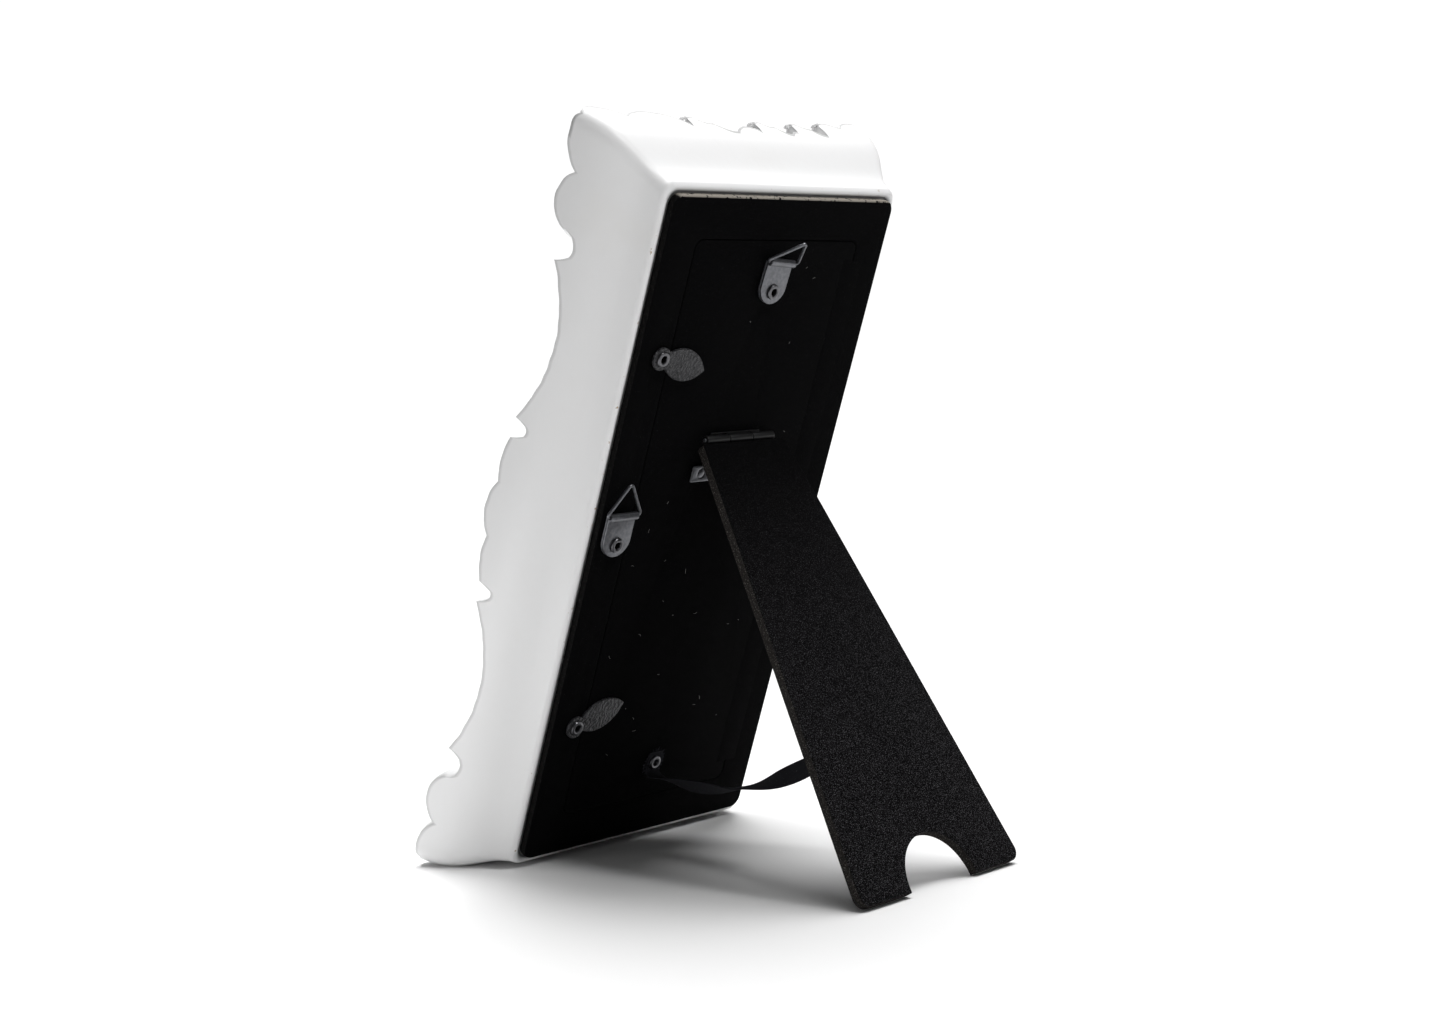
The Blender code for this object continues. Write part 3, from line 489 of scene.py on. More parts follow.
casting = {
    "rim": 0.0024, "proud": 0.0020, "gap": 0.0004, "seat": 0.0030, "sight": 0.0080,
    "lipBack": 0.0072, "lipFront": 0.0100, "step": 0.00085, "fillet": 0.0045,
    "topSpread": 1.08, "bottomSpread": 0.90,
    # the wall's flare: depth in front of the board, overhang past it
    "flare": [(0.0008, 0.0024), (0.0030, 0.0026), (0.0060, 0.0036), (0.0090, 0.0049), (0.0120, 0.0069),
              (0.0150, 0.0090), (0.0180, 0.0109), (0.0210, 0.0123), (0.0240, 0.0133), (0.0270, 0.0140),
              (0.0300, 0.0145), (0.0340, 0.0149)],
    # the cut edge: place along, depth of the wall there, bulge forwards of the arc to the next point
    "side": [
        (-0.1024, 0.0267, 0.0049), (-0.0862, 0.0269, -0.0003), (-0.0845, 0.0232, -0.0007),
        (-0.0788, 0.0230, -0.0003),
        (-0.0768, 0.0272, -0.0064), (-0.0290, 0.0288, -0.0002), (-0.0272, 0.0250, -0.0005),
        (-0.0244, 0.0248, -0.0002),
        (-0.0227, 0.0292, 0.0011), (-0.0085, 0.0301, 0.0029),
        (0.0085, 0.0301, 0.0011), (0.0227, 0.0292, -0.0002), (0.0244, 0.0248, -0.0005), (0.0272, 0.0250, -0.0002),
        (0.0290, 0.0288, -0.0064), (0.0768, 0.0272, -0.0003), (0.0788, 0.0230, -0.0007), (0.0845, 0.0232, -0.0003),
        (0.0862, 0.0269, 0.0049), (0.1024, 0.0267, 0.0),
    ],
    "top": [
        (0.0471, 0.0273, 0.0052), (0.0226, 0.0238, -0.0002), (0.0215, 0.0282, 0.0004), (0.0187, 0.0288, -0.0008),
        (0.0124, 0.0256, -0.0010), (0.0041, 0.0222, 0.0026), (-0.0068, 0.0229, -0.0002), (-0.0078, 0.0277, 0.0004),
        (-0.0107, 0.0282, -0.0008), (-0.0153, 0.0258, -0.0010), (-0.0212, 0.0226, 0.0006),
        (-0.0242, 0.0236, -0.0002), (-0.0252, 0.0279, 0.0004), (-0.0278, 0.0285, -0.0006),
        (-0.0322, 0.0258, -0.0008), (-0.0378, 0.0226, -0.0002), (-0.0392, 0.0296, 0.0008), (-0.0455, 0.0300, -0.0003),
        (-0.0490, 0.0280, 0.0),
    ],
    "bottom": [
        (-0.0471, 0.0273, 0.0042), (-0.0221, 0.0242, -0.0015), (-0.0074, 0.0238, 0.0027), (0.0074, 0.0238, -0.0015),
        (0.0221, 0.0242, 0.0042), (0.0471, 0.0273, 0.0),
    ],
    "cornerDepth": 0.0302, "cornerBulge": 0.0030,
    # share of the way from the window to the edge, share of the edge's height over the lip
    "face": [(1.0, 0.955), (0.99, 0.985), (0.97, 1.0), (0.94, 1.0), (0.90, 0.985), (0.80, 0.90), (0.70, 0.785),
             (0.60, 0.625), (0.50, 0.433), (0.42, 0.283), (0.34, 0.167), (0.28, 0.108), (0.235, 0.10),
             (0.20, 0.142), (0.15, 0.175), (0.10, 0.167), (0.05, 0.108), (0.02, 0.033), (0.0, 0.0)],
    # scrolls on the top edge: place along, depth
    "volutes": [(0.0219, 0.0268), (-0.0074, 0.0262), (-0.0247, 0.0265), (-0.0392, 0.0280)],
}


def smoothFlare():
    # the wall's profile, eased between its given points
    keys, values = zip(*casting["flare"])
    depths = np.linspace(0.0, 0.036, 145)
    kernel = np.hanning(19)
    margin = len(kernel) - 1
    padded = np.pad(np.interp(depths, keys, values), margin, mode="edge")
    for _ in range(2):
        padded = np.convolve(padded, kernel / kernel.sum(), mode="same")
    return depths, padded[margin:-margin]


flareDepths, flareOut = smoothFlare()


def wallSize(depth, upper):
    spread = np.where(upper, casting["topSpread"], casting["bottomSpread"])
    out = np.interp(depth, flareDepths, flareOut)
    return board["width"] / 2.0 + out, board["height"] / 2.0 + out * spread


def roundCorner(x, z, sizeX, sizeZ):
    fillet = casting["fillet"]
    out = Vector((abs(x) - sizeX + fillet, abs(z) - sizeZ + fillet))
    if out.x > 0.0 and out.y > 0.0:
        out = out.normalized() * fillet
    return (math.copysign(sizeX - fillet + out.x, x) / sizeX, math.copysign(sizeZ - fillet + out.y, z) / sizeZ)


def castEdge():
    # once round: place as shares of the wall's size, depth, and the place in its own lobe
    spots, depths, lobes = [], [], []
    corner = casting["cornerDepth"]
    for key, sign, upper in (("side", 1, True), ("top", 1, True), ("side", -1, False), ("bottom", 1, False)):
        stops = list(casting[key])
        onSide = key == "side"
        if onSide:
            before = float(wallSize(corner, sign < 0)[1])
            after = float(wallSize(corner, sign > 0)[1])
        else:
            before = after = float(wallSize(corner, upper)[0])
        way = 1.0 if stops[-1][0] > stops[0][0] else -1.0
        bulge = casting["cornerBulge"]
        stops = [(-way * before, corner, bulge)] + stops[:-1] + [(*stops[-1][:2], bulge), (way * after, corner, 0.0)]
        for first, second in zip(stops, stops[1:]):
            line = arcLine(first[:2], second[:2], -way * first[2], casting["step"])
            for k, (along, depth) in enumerate(line):
                along *= sign
                sizeX, sizeZ = wallSize(depth, along > 0.0 if onSide else upper)
                if onSide:
                    spot = roundCorner(float(sizeX) * sign, along, float(sizeX), float(sizeZ))
                else:
                    spot = roundCorner(along, float(sizeZ) * (1 if upper else -1), float(sizeX), float(sizeZ))
                ripple = noise.noise(Vector((spot[0] * 14.0, spot[1] * 30.0, 2.0))) * 0.00035
                spots.append(spot)
                depths.append(depth + ripple)
                lobes.append((k / len(line), first[2], len(line)))
    return np.array(spots), np.array(depths), lobes


def finer(table, count):
    # more rows between the given ones
    keys = np.array([row[0] for row in table], float)
    values = np.array([row[1] for row in table], float)
    at = np.linspace(0.0, len(table) - 1.0, count)
    return list(zip(np.interp(at, range(len(keys)), keys), np.interp(at, range(len(keys)), values)))


def castRelief(share, u, bulge, count):
    # shell flutes on the rounded lobes, a rolled edge along the hollows
    fade = math.sin(math.pi * u)
    band = math.exp(-((share - 0.66) / 0.17) ** 2)
    if bulge > 0.0008 and count > 10:
        flutes = max(3, round(count / 6))
        return 0.0008 * band * math.sqrt(fade) * math.cos(2.0 * math.pi * flutes * (u - 0.5))
    roll = math.exp(-((share - 0.84) / 0.05) ** 2) - 0.8 * math.exp(-((share - 0.70) / 0.07) ** 2)
    return 0.0007 * roll * math.sqrt(max(fade, 0.0))


def makeVolute(along, depth):
    # a scroll rolled up on the cut edge
    sizeZ = float(wallSize(depth, True)[1])
    line = []
    steps = 25
    for i in range(steps + 1):
        t = i / steps
        angle = 2.2 * math.pi * t
        radius = 0.0016 * (1.0 - 0.72 * t)
        line.append((radius * math.cos(angle), radius * math.sin(angle), -0.0003 * t))
    obj = curveObject("volute", [line], False)
    obj.data.bevel_depth = 0.0006
    obj.data.bevel_resolution = 3
    obj.data.use_fill_caps = True
    for i, point in enumerate(obj.data.splines[0].points):
        point.radius = 1.0 - 0.45 * i / steps
    obj = toMesh(obj)
    settle(obj, panel @ Matrix.Translation((along, -depth - 0.0010, sizeZ - 0.0011)) @ upright)
    return obj


def makeCasting():
    spots, depths, lobes = castEdge()
    upper = spots[:, 1] > 0.0
    bands = []

    def addBand(x, z, depth, mark=0.0, shade=0.0):
        bands.append([np.broadcast_to(value, x.shape) for value in (x, depth, z, mark, shade)])

    def addLevel(overhang, depth, mark=0.0, shade=0.0):
        sizeX, sizeZ = board["width"] / 2.0 + overhang, board["height"] / 2.0 + overhang
        addBand(spots[:, 0] * sizeX, spots[:, 1] * sizeZ, depth, mark, shade)

    pocket = board["thickness"] + 0.0003
    rim, proud = casting["rim"], casting["proud"]
    # the last number of each level is painted shade: the rim darkens down into the gap beside the board
    addLevel(casting["gap"], pocket, 0.0, 1.0)
    for overhang, depth, mark, shade in (
            (0.0004, proud + 0.0005, 0.0, 1.0), (0.0006, proud + 0.0003, 0.3, 0.85),
            (0.0009, proud + 0.0001, 1.0, 0.5),
            (0.0013, proud, 1.0, 0.22), (0.0017, proud, 1.0, 0.07), (rim - 0.0003, proud + 0.00015, 1.0, 0.0),
            (rim - 0.0001, proud + 0.0004, 0.7, 0.0)):
        addLevel(overhang, depth, mark, shade)
    base = proud + 0.0008
    softness = 0.0009
    # painted shade: the wall's last band darkens to draw an outline along the cut edge, stronger on top
    edgeShade = np.where(spots[:, 1] > 0.93, 0.55, 0.22)
    for share in np.linspace(0.0, 1.0, 34):
        depth = base + (depths - softness - base) * share
        sizeX, sizeZ = wallSize(depth, upper)
        addBand(spots[:, 0] * sizeX, spots[:, 1] * sizeZ, depth, 0.0, edgeShade if share == 1.0 else 0.0)
    edgeX, edgeZ = wallSize(depths, upper)
    # the rounding over the cut edge, with painted shade for the outline
    for pull, ahead in ((0.0001, 0.00045), (0.00035, 0.00015)):
        addBand(spots[:, 0] * (edgeX - pull), spots[:, 1] * (edgeZ - pull), depths - ahead, 0.0, 0.25)
    sightX = spots[:, 0] * (board["width"] / 2 - casting["sight"])
    sightZ = spots[:, 1] * (board["height"] / 2 - casting["sight"])
    edgeX, edgeZ = spots[:, 0] * (edgeX - 0.0007), spots[:, 1] * (edgeZ - 0.0007)
    lip = casting["lipFront"]
    for share, rise in finer(casting["face"], 50):
        relief = np.array([castRelief(share, u, bulge, count) for u, bulge, count in lobes])
        x, z = sightX + (edgeX - sightX) * share, sightZ + (edgeZ - sightZ) * share
        # the face's outermost band also takes a little painted shade for the outline
        addBand(x, z, lip + (depths - lip) * rise + relief, 0.0, 0.1 if share > 0.985 else 0.0)
    addBand(sightX, sightZ, casting["lipBack"])
    addLevel(-casting["seat"], casting["lipBack"])
    addLevel(-casting["seat"], pocket)

    count = len(spots)
    points = np.concatenate([np.stack([x, -depth, z], 1) for x, depth, z, *_ in bands])
    faces = []
    for i in range(len(bands)):
        a, b = i * count, (i + 1) % len(bands) * count
        faces += [(a + j, b + j, b + (j + 1) % count, a + (j + 1) % count) for j in range(count)]
    mesh = bpy.data.meshes.new("castSurround")
    mesh.from_pydata(points.tolist(), [], faces)
    for name, k in (("edgeMark", 3), ("shade", 4)):
        mark = mesh.attributes.new(name, "FLOAT", "POINT")
        mark.data.foreach_set("value", np.concatenate([band[k] for band in bands]).astype(np.float32))
    obj = bpy.data.objects.new("castSurround", mesh)
    bpy.context.scene.collection.objects.link(obj)
    select(obj)
    bpy.ops.object.mode_set(mode="EDIT")
    bpy.ops.mesh.select_all(action="SELECT")
    bpy.ops.mesh.normals_make_consistent(inside=False)
    bpy.ops.object.mode_set(mode="OBJECT")
    settle(obj, panel)
    obj = joinAll([obj] + [makeVolute(*volute) for volute in casting["volutes"]])
    dress(obj, looks["resin"], "frame", ("frame_moulding",), 50.0)


makeCasting()
print("cast surround made")


# ---- glass, photo and card ----

def makeContents():
    sizeX, sizeZ = board["width"] - 0.0066, board["height"] - 0.0066
    rows = (("glassPane", "glass_pane", "glass", 0.0020, 0.0060, "clear_glass"),
            ("blankPhoto", "photo_insert", "paper", 0.0004, 0.0045, "photo_paper"),
            ("backingCard", "backing_card", "card", 0.0012, 0.0034, "grey_card"))
    for name, node, look, thickness, depth, slotName in rows:
        obj = platePiece(name, [rectangleLine(sizeX, sizeZ, 0.0044)], thickness, thickness * 0.12,
                         panel @ Matrix.Translation((0, -depth, 0)))
        dress(obj, looks[look], "frame", (node,))


makeContents()
print("contents made")


# ---- back board ----

door = {"width": 0.0726, "height": 0.1826, "corner": 0.0030, "gap": 0.00022, "edge": 0.00035}
hanging = {
    "top": {"x": 0.0, "z": 0.0760, "turn": math.radians(-4.0), "tilt": math.radians(-40.0)},
    "side": {"x": 0.0421, "z": -0.0007, "turn": 0.0, "tilt": math.radians(-2.0)},
}
buttons = {
    "upper": {"x": 0.0404, "z": 0.05616, "turn": math.radians(168.0)},
    "lower": {"x": 0.0404, "z": -0.06032, "turn": math.radians(197.0)},
}
lint = {"count": 30, "radius": 0.00004, "clearX": 0.020, "clearLow": 0.010, "clearHigh": 0.036}
rivets = [(-0.0110, 0.0191), (0.0110, 0.0191)]
rivetHole = 0.0012
ribbonEnd = (0.0, -0.0790)


def makeBoard():
    hole = board["hole"]
    middle = panel @ Matrix.Translation((0, -board["thickness"] / 2.0, 0))
    opening = rectangleLine(door["width"], door["height"], door["corner"])
    lines = [rectangleLine(board["width"], board["height"], board["corner"]), opening]
    lines += [circleLine(b["x"], b["z"], hole) for b in buttons.values()]
    lines.append(circleLine(hanging["side"]["x"], hanging["side"]["z"], hole))
    surround = platePiece("backSurround", lines, board["thickness"], door["edge"], middle)
    halfX, halfZ = board["width"] / 2.0, board["height"] / 2.0

    def outerEdge(at):
        reach = max(abs(at.x) - halfX, abs(at.z) - halfZ)
        return 1.0 if reach > -0.00045 and at.z > halfZ - 0.0012 else 0.0

    markEdges(surround, outerEdge)
    dress(surround, looks["flock"], "frame", ("back_surround",), 60.0)
    surround.data.materials.append(looks["cutEdge"])
    paintSides(surround, panel)

    lines = [rectangleLine(door["width"] - 2 * door["gap"], door["height"] - 2 * door["gap"], door["corner"])]
    lines += [circleLine(x, z, rivetHole) for x, z in rivets]
    lines += [circleLine(hanging["top"]["x"], hanging["top"]["z"], hole), circleLine(*ribbonEnd, hole)]
    leaf = platePiece("backDoor", lines, board["thickness"], door["edge"], middle)
    markEdges(leaf, lambda at: 0.0)
    dress(leaf, looks["flock"], "frame", ("back_door",), 60.0)

    joinAll([leaf] + makeLint())
    strip = block("doorClothHinge", (0.0088, 0.00014, 0.1700), (-door["width"] / 2.0, -0.00005, 0.0), panel, 0.0001)
    markEdges(strip, lambda at: 0.0)
    dress(strip, looks["flock"], "frame", ("door_hinge_cloth",), 60.0)


def makeLint():
    # short pale fibres lying on the cloth
    random.seed(11)
    fibres = []
    for k in range(lint["count"]):
        x = random.uniform(-0.5, 0.5) * (door["width"] - 0.008)
        z = random.uniform(-0.40, 0.48) * door["height"]
        if abs(x) < lint["clearX"] and lint["clearLow"] < z < lint["clearHigh"]:
            continue
        heading = random.uniform(0.0, math.pi)
        length = random.uniform(0.0003, 0.0016)
        bend = random.uniform(-0.0003, 0.0003)
        line = []
        for i in range(6):
            t = i / 5 - 0.5
            side = bend * (1.0 - 4.0 * t * t)
            line.append((x + length * t * math.cos(heading) - side * math.sin(heading), 0.00004,
                         z + length * t * math.sin(heading) + side * math.cos(heading)))
        fibre = curveObject(f"lint{k}", [line], False)
        fibre.data.bevel_depth = lint["radius"]
        fibre.data.bevel_resolution = 1
        fibre.data.use_fill_caps = True
        fibre = toMesh(fibre)
        settle(fibre, panel)
        fibre.data.materials.clear()
        fibre.data.materials.append(looks["lint"])
        fibres.append(fibre)
    return fibres


def paintSides(obj, space):
    # the cut sides of a board take the second material
    back = space.to_3x3().inverted()
    for face in obj.data.polygons:
        if abs((back @ face.normal).y) < 0.5:
            face.material_index = 1


makeBoard()
print("back board made")


# ---- eyelets, turn buttons and hangers ----

eyelet = {"bore": 0.0011, "barrel": 0.0015, "flange": 0.0023, "thickness": 0.0005}


def makeEyelet(name, space, stack):
    base = stack + board["air"]
    top = base + eyelet["thickness"]
    bore, barrel, flange = eyelet["bore"], eyelet["barrel"], eyelet["flange"]
    profile = [(barrel, -0.0022), (bore, -0.0022), (bore, top - 0.0004), (bore + 0.00012, top - 0.00015),
               (bore + 0.0004, top), (flange - 0.00045, top - 0.00004), (flange - 0.00012, top - 0.00018),
               (flange, top - 0.0004), (flange - 0.00008, base - 0.00015), (flange - 0.0003, base - 0.0001),
               (barrel, base)]
    return turnedPiece(name, profile, space @ outOfBack)


button = {"head": 0.0035, "reach": 0.0195, "neck": 0.0024, "bulge": 0.0036, "thickness": 0.0010,
          "edge": 0.0003}


def buttonLine():
    neckX = math.sqrt(button["head"] ** 2 - button["neck"] ** 2)
    lower = arcLine((neckX, -button["neck"]), (button["reach"], 0.0), button["bulge"], 0.0006)
    upper = [(x, -y) for x, y in reversed(lower)]
    first = math.atan2(button["neck"], neckX)
    turns = [first + (2.0 * math.pi - 2.0 * first) * i / 30 for i in range(1, 30)]
    head = [(button["head"] * math.cos(t), button["head"] * math.sin(t)) for t in turns]
    return lower + [(button["reach"], 0.0)] + upper + head


def makeButtons():
    for name, spot in buttons.items():
        place = panel @ Matrix.Translation((spot["x"], board["air"] + button["thickness"] / 2.0, spot["z"]))
        place = place @ Matrix.Rotation(spot["turn"], 4, "Y")
        leaf = platePiece(name + "TurnButton", [buttonLine(), circleLine(0, 0, board["hole"])],
                          button["thickness"], button["edge"], place)
        dress(leaf, looks["hammered"], "button_" + name, ("turn_button_" + name,))
        spotSpace = panel @ Matrix.Translation((spot["x"], 0.0, spot["z"]))
        rivet = makeEyelet(name + "ButtonEyelet", spotSpace, board["air"] + button["thickness"])
        dress(rivet, looks["eyelet"], "frame", ("button_eyelet_" + name,))


strap = {"width": 0.0110, "ply": 0.00062, "seam": 0.00012, "reach": 0.0090, "bore": 0.00062, "fold": 0.0012,
         "foldHeight": 0.0016, "edge": 0.00012, "stack": 0.0017}
ring = {"width": 0.0146, "height": 0.0105, "corner": 0.0009, "wire": 0.0005}


def strapLine():
    half = strap["width"] / 2.0
    end = arcLine((-half, 0.0006), (half, 0.0006), 0.0044, 0.0004)
    return [(half, strap["reach"]), (-half, strap["reach"])] + end + [(half, 0.0006)]


def makeHangers():
    for name, spot in hanging.items():
        space = panel @ Matrix.Translation((spot["x"], board["air"], spot["z"]))
        space = space @ Matrix.Rotation(spot["turn"], 4, "Y")
        foldSpace = space @ Matrix.Translation((0, strap["foldHeight"], strap["reach"]))
        ply = strap["ply"]
        plies = []
        for k, level in enumerate((ply / 2.0, ply * 1.5 + strap["seam"])):
            sheet = platePiece(f"{name}Ply{k}", [strapLine(), circleLine(0, 0, board["hole"])], ply, strap["edge"],
                               space @ Matrix.Translation((0, level, 0)))
            plies.append(sheet)
        fold = turnedPiece(name + "Fold", [
            (strap["fold"], -strap["width"] / 2.0 + 0.0001), (strap["fold"], strap["width"] / 2.0 - 0.0001),
            (strap["fold"] - 0.0001, strap["width"] / 2.0), (strap["bore"], strap["width"] / 2.0),
            (strap["bore"], -strap["width"] / 2.0), (strap["fold"] - 0.0001, -strap["width"] / 2.0),
        ], foldSpace @ Matrix.Rotation(math.pi / 2.0, 4, "Y"))
        body = joinAll(plies + [fold])
        body.name = name + "HangerStrap"
        dress(body, looks["steel"], "hanger_" + name, ("hanger_strap_" + name,))
        swing = foldSpace @ Matrix.Rotation(spot["tilt"], 4, "X")
        half = ring["width"] / 2.0
        corners = [(-half, 0.0), (half, 0.0), (0.0, ring["height"])]
        line = [(x, 0.0, y) for x, y in roundedLine(corners, [ring["corner"]] * 3, 10)]
        wire = curveObject(name + "WireRing", [line], True)
        wire.data.bevel_depth = ring["wire"]
        wire.data.bevel_resolution = 4
        wire = toMesh(wire)
        settle(wire, swing)
        dress(wire, looks["steel"], "ring_" + name, ("d_ring_" + name,))
        spotSpace = panel @ Matrix.Translation((spot["x"], 0.0, spot["z"]))
        rivet = makeEyelet(name + "HangerEyelet", spotSpace, strap["stack"])
        dress(rivet, looks["eyelet"], "frame", ("hanger_eyelet_" + name,))


makeButtons()
makeHangers()
print("turn buttons and hangers made")


# ---- leg and hinge ----

leg = {"drop": 0.14493, "top": 0.0018, "topWidth": 0.0368, "footWidth": 0.0748, "thickness": 0.0030,
       "notch": 0.0153, "corner": 0.0035, "edge": 0.00035}
hinge = {"width": 0.0300, "knuckle": 0.0100, "radius": 0.0014, "pin": 0.0006, "plate": 0.0005, "foot": 0.0304,
         "neck": 0.0220, "blackAbove": 0.0225}


def legLine():
    foot = -leg["drop"]
    half, wide = leg["topWidth"] / 2.0, leg["footWidth"] / 2.0
    notch = [(leg["notch"] * math.cos(a), foot + leg["notch"] * math.sin(a))
             for a in [math.pi - math.pi * i / 40 for i in range(41)]]
    corners = [(half, -leg["top"]), (-half, -leg["top"]), (-wide, foot)] + notch + [(wide, foot)]
    radii = [0.0015, 0.0015, leg["corner"]] + [0.0] * len(notch) + [leg["corner"]]
    radii[3] = radii[-2] = 0.0
    return roundedLine(corners, radii)


def makeLeg():
    obj = platePiece("easelLeg", [legLine()], leg["thickness"], leg["edge"], legSpace)
    markEdges(obj, lambda at: 0.0)
    dress(obj, looks["legFlock"], "leg", ("easel_leg",), 60.0)
    obj.data.materials.append(looks["legEdge"])
    paintSides(obj, legSpace)


def makeHinge():
    across = panel @ Matrix.Translation(stand["pin"])
    width, knuckle = hinge["width"], hinge["knuckle"]
    outer = (width - knuckle) / 2.0 - 0.0003
    wide, narrow = hinge["foot"] / 2.0, hinge["neck"] / 2.0
    side = [(wide, 0.0165), (wide, 0.0217), (narrow, 0.0217), (narrow, 0.0319)]
    corners = side + [(-x, z) for x, z in reversed(side)]
    lines = [roundedLine(corners, [0.0006] * 8)] + [circleLine(x, z, 0.0017) for x, z in rivets]
    plate = platePiece("hingeBasePlate", lines, hinge["plate"], 0.0001,
                       panel @ Matrix.Translation((0, board["air"] + hinge["plate"] / 2.0, 0)))
    middle = rod("middleKnuckle", hinge["radius"], knuckle, across, edge=0.0001)
    web = block("middleWeb", (knuckle, 0.0016, 0.0008), (0, -0.0011, 0.0009), across)
    base = joinAll([plate, middle, web])
    dress(base, looks["steel"], "frame", ("hinge_base_plate",))
    base.data.materials.append(looks["blackSteel"])
    toPanel = panel.inverted()
    for face in base.data.polygons:
        if (toPanel @ face.center).z > hinge["blackAbove"]:
            face.material_index = 1
    leaf = block("hingeLeaf", (width, 0.0006, 0.0096), (0, 0, -0.0066), legSpace, 0.0001)
    knuckles = []
    for side in (-1, 1):
        spot = legSpace @ Matrix.Translation((side * (width - outer) / 2.0, 0, 0))
        knuckles.append(rod("leafKnuckle", hinge["radius"], outer, spot, edge=0.0001))
    leaf = joinAll([leaf] + knuckles)
    dress(leaf, looks["blackSteel"], "leg", ("hinge_leaf",))
    pin = rod("hingePin", hinge["pin"], width + 0.0010, across, edge=0.0001)
    dress(pin, looks["steel"], "frame", ("hinge_pin",))
    for name, (x, z) in zip(("left", "right"), rivets):
        profile = [(0.0, -0.0022), (0.0009, -0.0022), (0.0009, 0.0003), (0.0015, 0.0003), (0.00145, 0.0006),
                   (0.0011, 0.00078), (0.0, 0.0008)]
        head = turnedPiece(name + "HingeRivet", profile, panel @ Matrix.Translation((x, 0, z)) @ outOfBack, False)
        dress(head, looks["steel"], "frame", ("hinge_rivet_" + name,))


makeLeg()
makeHinge()
print("leg and hinge made")


# ---- ribbon stay ----

ribbon = {"width": 0.0062, "thickness": 0.0004, "sag": 0.0092, "twist": math.radians(75.0), "legShare": 0.618,
          "firstTwist": math.radians(48.0), "turn": 0.42, "seat": 0.0005, "stack": 0.0007}


def ribbonRoute(steps=60):
    # points in the board's YZ plane with the twist at each
    seat = ribbon["seat"]
    opening = stand["legOpening"]
    upLeg = Vector((-math.sin(opening), math.cos(opening)))
    inward = Vector((-math.cos(opening), -math.sin(opening)))
    down = Vector((math.sin(stand["lean"]), -math.cos(stand["lean"])))
    legEyelet = Vector(stand["pin"][1:]) - upLeg * ribbon["legShare"] * leg["drop"]
    legSeat = legEyelet + inward * (leg["thickness"] / 2.0 + seat)
    doorSeat = Vector((seat, ribbonEnd[1]))
    flat = eyelet["flange"] + 0.0022
    start = doorSeat + Vector((0.0018, -0.0042))
    end = legSeat - upLeg * (flat + 0.0016) + inward * 0.0024
    route = [(doorSeat + Vector((0.0, z)), 0.0) for z in (0.0036, 0.0018, 0.0, -0.0014, -0.0022, -0.0030)]
    for i in range(steps + 1):
        t = i / steps
        if t < ribbon["turn"]:
            twist = -ribbon["firstTwist"] * math.sin(math.pi * t / ribbon["turn"])
        else:
            twist = ribbon["twist"] * math.sin(math.pi * (t - ribbon["turn"]) / (1.0 - ribbon["turn"])) ** 2
        route.append((start.lerp(end, t) + down * ribbon["sag"] * 4.0 * t * (1.0 - t), twist))
    route += [(legSeat + upLeg * z, 0.0) for z in (-flat, -flat + 0.001, -0.0018, 0.0, 0.0018, 0.0036)]
    return route


def makeFrayedEnd():
    # the torn end of the ribbon, spread flat under its eyelet
    random.seed(7)
    line = []
    for i in range(44):
        angle = 2.0 * math.pi * i / 44
        reach = 0.0036 + (0.0007 if i % 2 else -0.0004) + random.uniform(-0.0003, 0.0005)
        reach += 0.0016 * max(0.0, -math.sin(angle)) * abs(math.cos(angle)) + 0.0008 * max(0.0, math.sin(angle - 0.9))
        line.append((reach * math.cos(angle), reach * math.sin(angle)))
    return platePiece("frayedEnd", [line, circleLine(0, 0, board["hole"])], 0.00018, 0.0,
                      panel @ Matrix.Translation((0, 0.00017, ribbonEnd[1])))


def makeRibbon():
    route = ribbonRoute()
    line = [(0.0, at.x, at.y) for at, _ in route]
    obj = curveObject("stayRibbon", [line], False)
    curve = obj.data
    curve.twist_mode = "Z_UP"
    curve.extrude = ribbon["width"] / 2.0 - ribbon["thickness"] / 2.0
    curve.bevel_depth = ribbon["thickness"] / 2.0
    curve.bevel_resolution = 2
    curve.use_fill_caps = True
    for point, (_, twist) in zip(curve.splines[0].points, route):
        point.tilt = math.pi / 2.0 + twist
    obj = toMesh(obj)
    settle(obj, panel)
    obj = joinAll([obj, makeFrayedEnd()])
    markEdges(obj, lambda at: 0.0)
    obj.data.materials.clear()
    obj.data.materials.append(looks["ribbon"])
    select(obj)
    bpy.ops.object.shade_smooth_by_angle(angle=math.radians(50.0))
    deselectAll()
    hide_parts("stay_ribbon")
    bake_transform(obj)
    doorEyelet = makeEyelet("doorRibbonEyelet", panel @ Matrix.Translation((0, 0, ribbonEnd[1])), ribbon["stack"])
    dress(doorEyelet, looks["eyelet"], "frame", ("ribbon_eyelet_door",))
    inner = legSpace @ Matrix.Translation((0, -leg["thickness"] / 2.0, -ribbon["legShare"] * leg["drop"]))
    legEyelet = makeEyelet("legRibbonEyelet", inner @ Matrix.Rotation(math.pi, 4, "Z"), ribbon["stack"])
    dress(legEyelet, looks["eyelet"], "leg", ("ribbon_eyelet_leg",))


makeRibbon()
print("ribbon made")


# ---- studio ----

studio = {"floor": (0.86, 0.86, 0.86), "sun": 4.5, "sky": 0.10, "lens": 59.04,
          "camera": (0.53139, 0.47608, 0.15491), "azimuth": 131.935, "pitch": 4.079, "roll": -2.292,
          "sunTurn": (12.0, -18.0, 0.0), "sunSpread": 50.0, "backdrop": 1.05,
          # name, kind, place, aim, power
          "lamps": [("lowReflector", "AREA", (0.20, -0.06, 0.01), (0.065, -0.01, 0.02), 0.085),
                    ("topLight", "SPOT", (-0.10, 0.50, 0.78), (0.0, 0.05, 0.215), 36.0)],
          "reflectorSize": 0.09, "spotSpread": 14.0, "spotSize": 0.12}


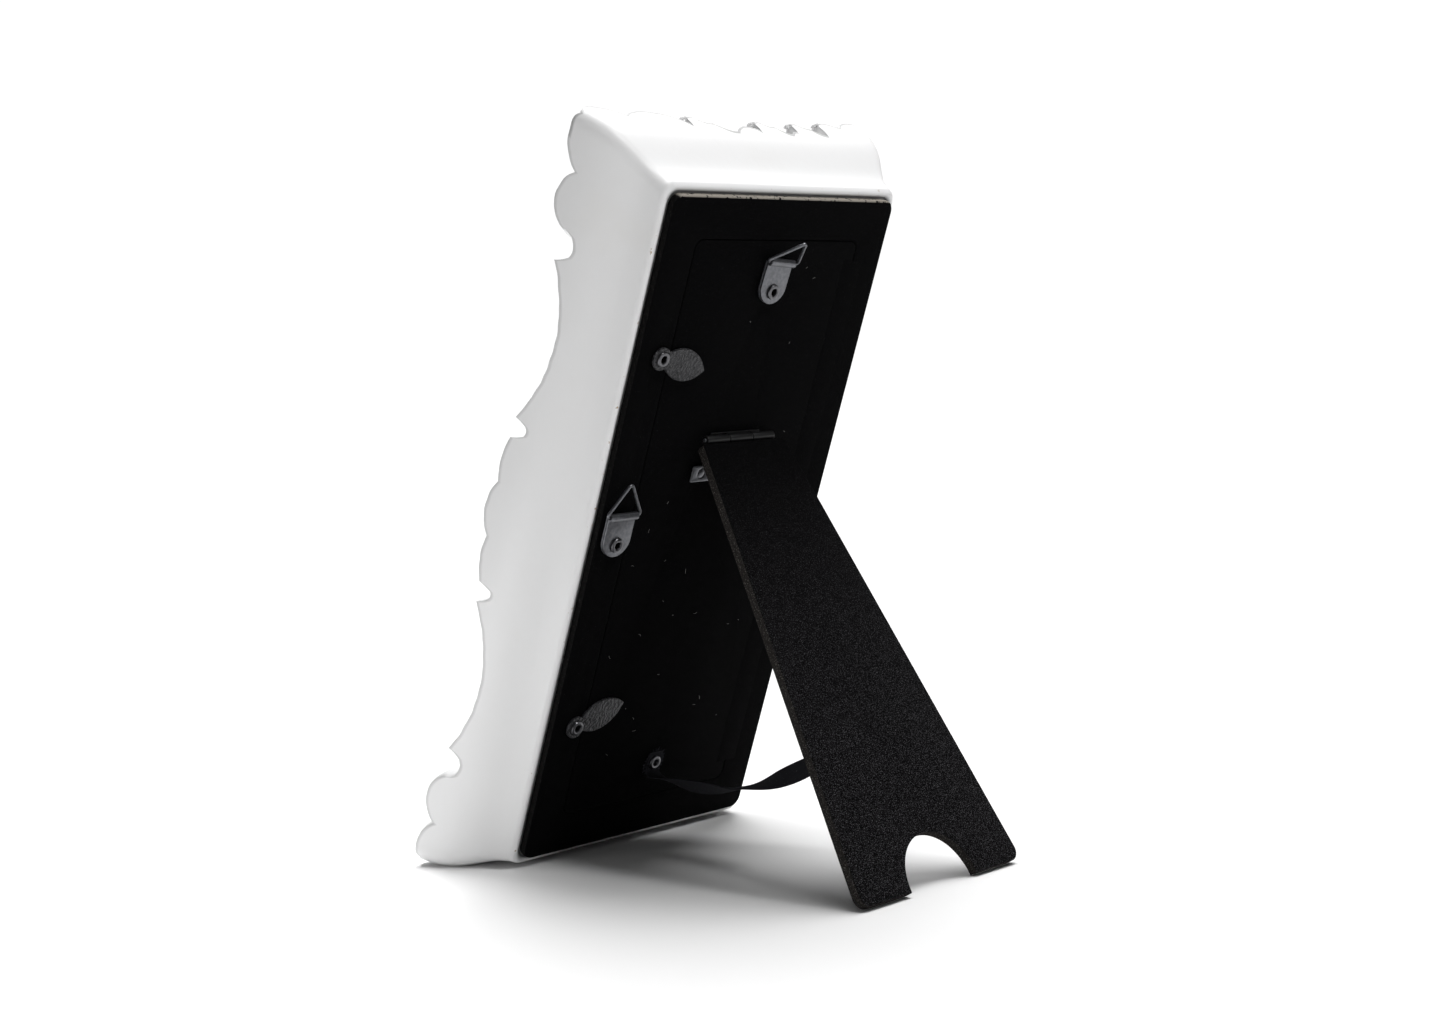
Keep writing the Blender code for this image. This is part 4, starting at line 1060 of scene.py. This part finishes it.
def makeStudio():
    deselectAll()
    bpy.ops.mesh.primitive_plane_add(size=12.0, location=(0, 0, 0))
    floor = bpy.context.object
    floor.name = "studioFloor"
    material, _, _ = newMaterial("studioFloor", studio["floor"], 0.6)
    floor.data.materials.append(material)
    deselectAll()
    turn = [math.radians(angle) for angle in studio["sunTurn"]]
    bpy.ops.object.light_add(type="SUN", location=(0, 0, 2), rotation=turn)
    sun = bpy.context.object
    sun.name = "softBox"
    sun.data.energy = studio["sun"]
    sun.data.angle = math.radians(studio["sunSpread"])
    lamps = [sun]
    for name, kind, spot, target, power in studio["lamps"]:
        turn = (Vector(target) - Vector(spot)).to_track_quat("-Z", "Y")
        bpy.ops.object.light_add(type=kind, location=spot, rotation=turn.to_euler())
        lamp = bpy.context.object
        lamp.name = name
        lamp.data.energy = power
        lamp.visible_camera = False
        lamps.append(lamp)
    _, reflector, spotLamp = lamps
    reflector.data.size = studio["reflectorSize"]
    spotLamp.data.spot_size = math.radians(studio["spotSpread"])
    spotLamp.data.spot_blend = 1.0
    spotLamp.data.shadow_soft_size = studio["spotSize"]
    world = bpy.data.worlds.new("studio")
    bpy.context.scene.world = world
    world.use_nodes = True
    tree = world.node_tree
    light = tree.nodes["Background"]
    light.inputs["Color"].default_value = (1.0, 1.0, 1.0, 1.0)
    light.inputs["Strength"].default_value = studio["sky"]
    seen = tree.nodes.new("ShaderNodeBackground")
    seen.inputs["Color"].default_value = (1.0, 1.0, 1.0, 1.0)
    seen.inputs["Strength"].default_value = studio["backdrop"]
    path = tree.nodes.new("ShaderNodeLightPath")
    mix = tree.nodes.new("ShaderNodeMixShader")
    tree.links.new(path.outputs["Is Camera Ray"], mix.inputs["Fac"])
    tree.links.new(light.outputs["Background"], mix.inputs[1])
    tree.links.new(seen.outputs["Background"], mix.inputs[2])
    tree.links.new(mix.outputs["Shader"], tree.nodes["World Output"].inputs["Surface"])


def makeCamera():
    azimuth, pitch, roll = (math.radians(studio[key]) for key in ("azimuth", "pitch", "roll"))
    back = Vector((math.sin(azimuth) * math.cos(pitch), -math.cos(azimuth) * math.cos(pitch), math.sin(pitch)))
    right = (-back).cross(Vector((0, 0, 1))).normalized()
    up = right.cross(-back)
    turned = right * math.cos(roll) + up * math.sin(roll)
    raised = up * math.cos(roll) - right * math.sin(roll)
    lens = bpy.data.cameras.new("camera")
    lens.lens = studio["lens"]
    lens.sensor_width = 36.0
    lens.clip_start = 0.01
    camera = bpy.data.objects.new("camera", lens)
    bpy.context.scene.collection.objects.link(camera)
    turn = Matrix((turned, raised, back)).transposed().to_4x4()
    camera.matrix_world = Matrix.Translation(studio["camera"]) @ turn
    bpy.context.scene.camera = camera


makeStudio()
makeCamera()
bpy.context.scene.view_settings.view_transform = "Standard"
print("studio made")
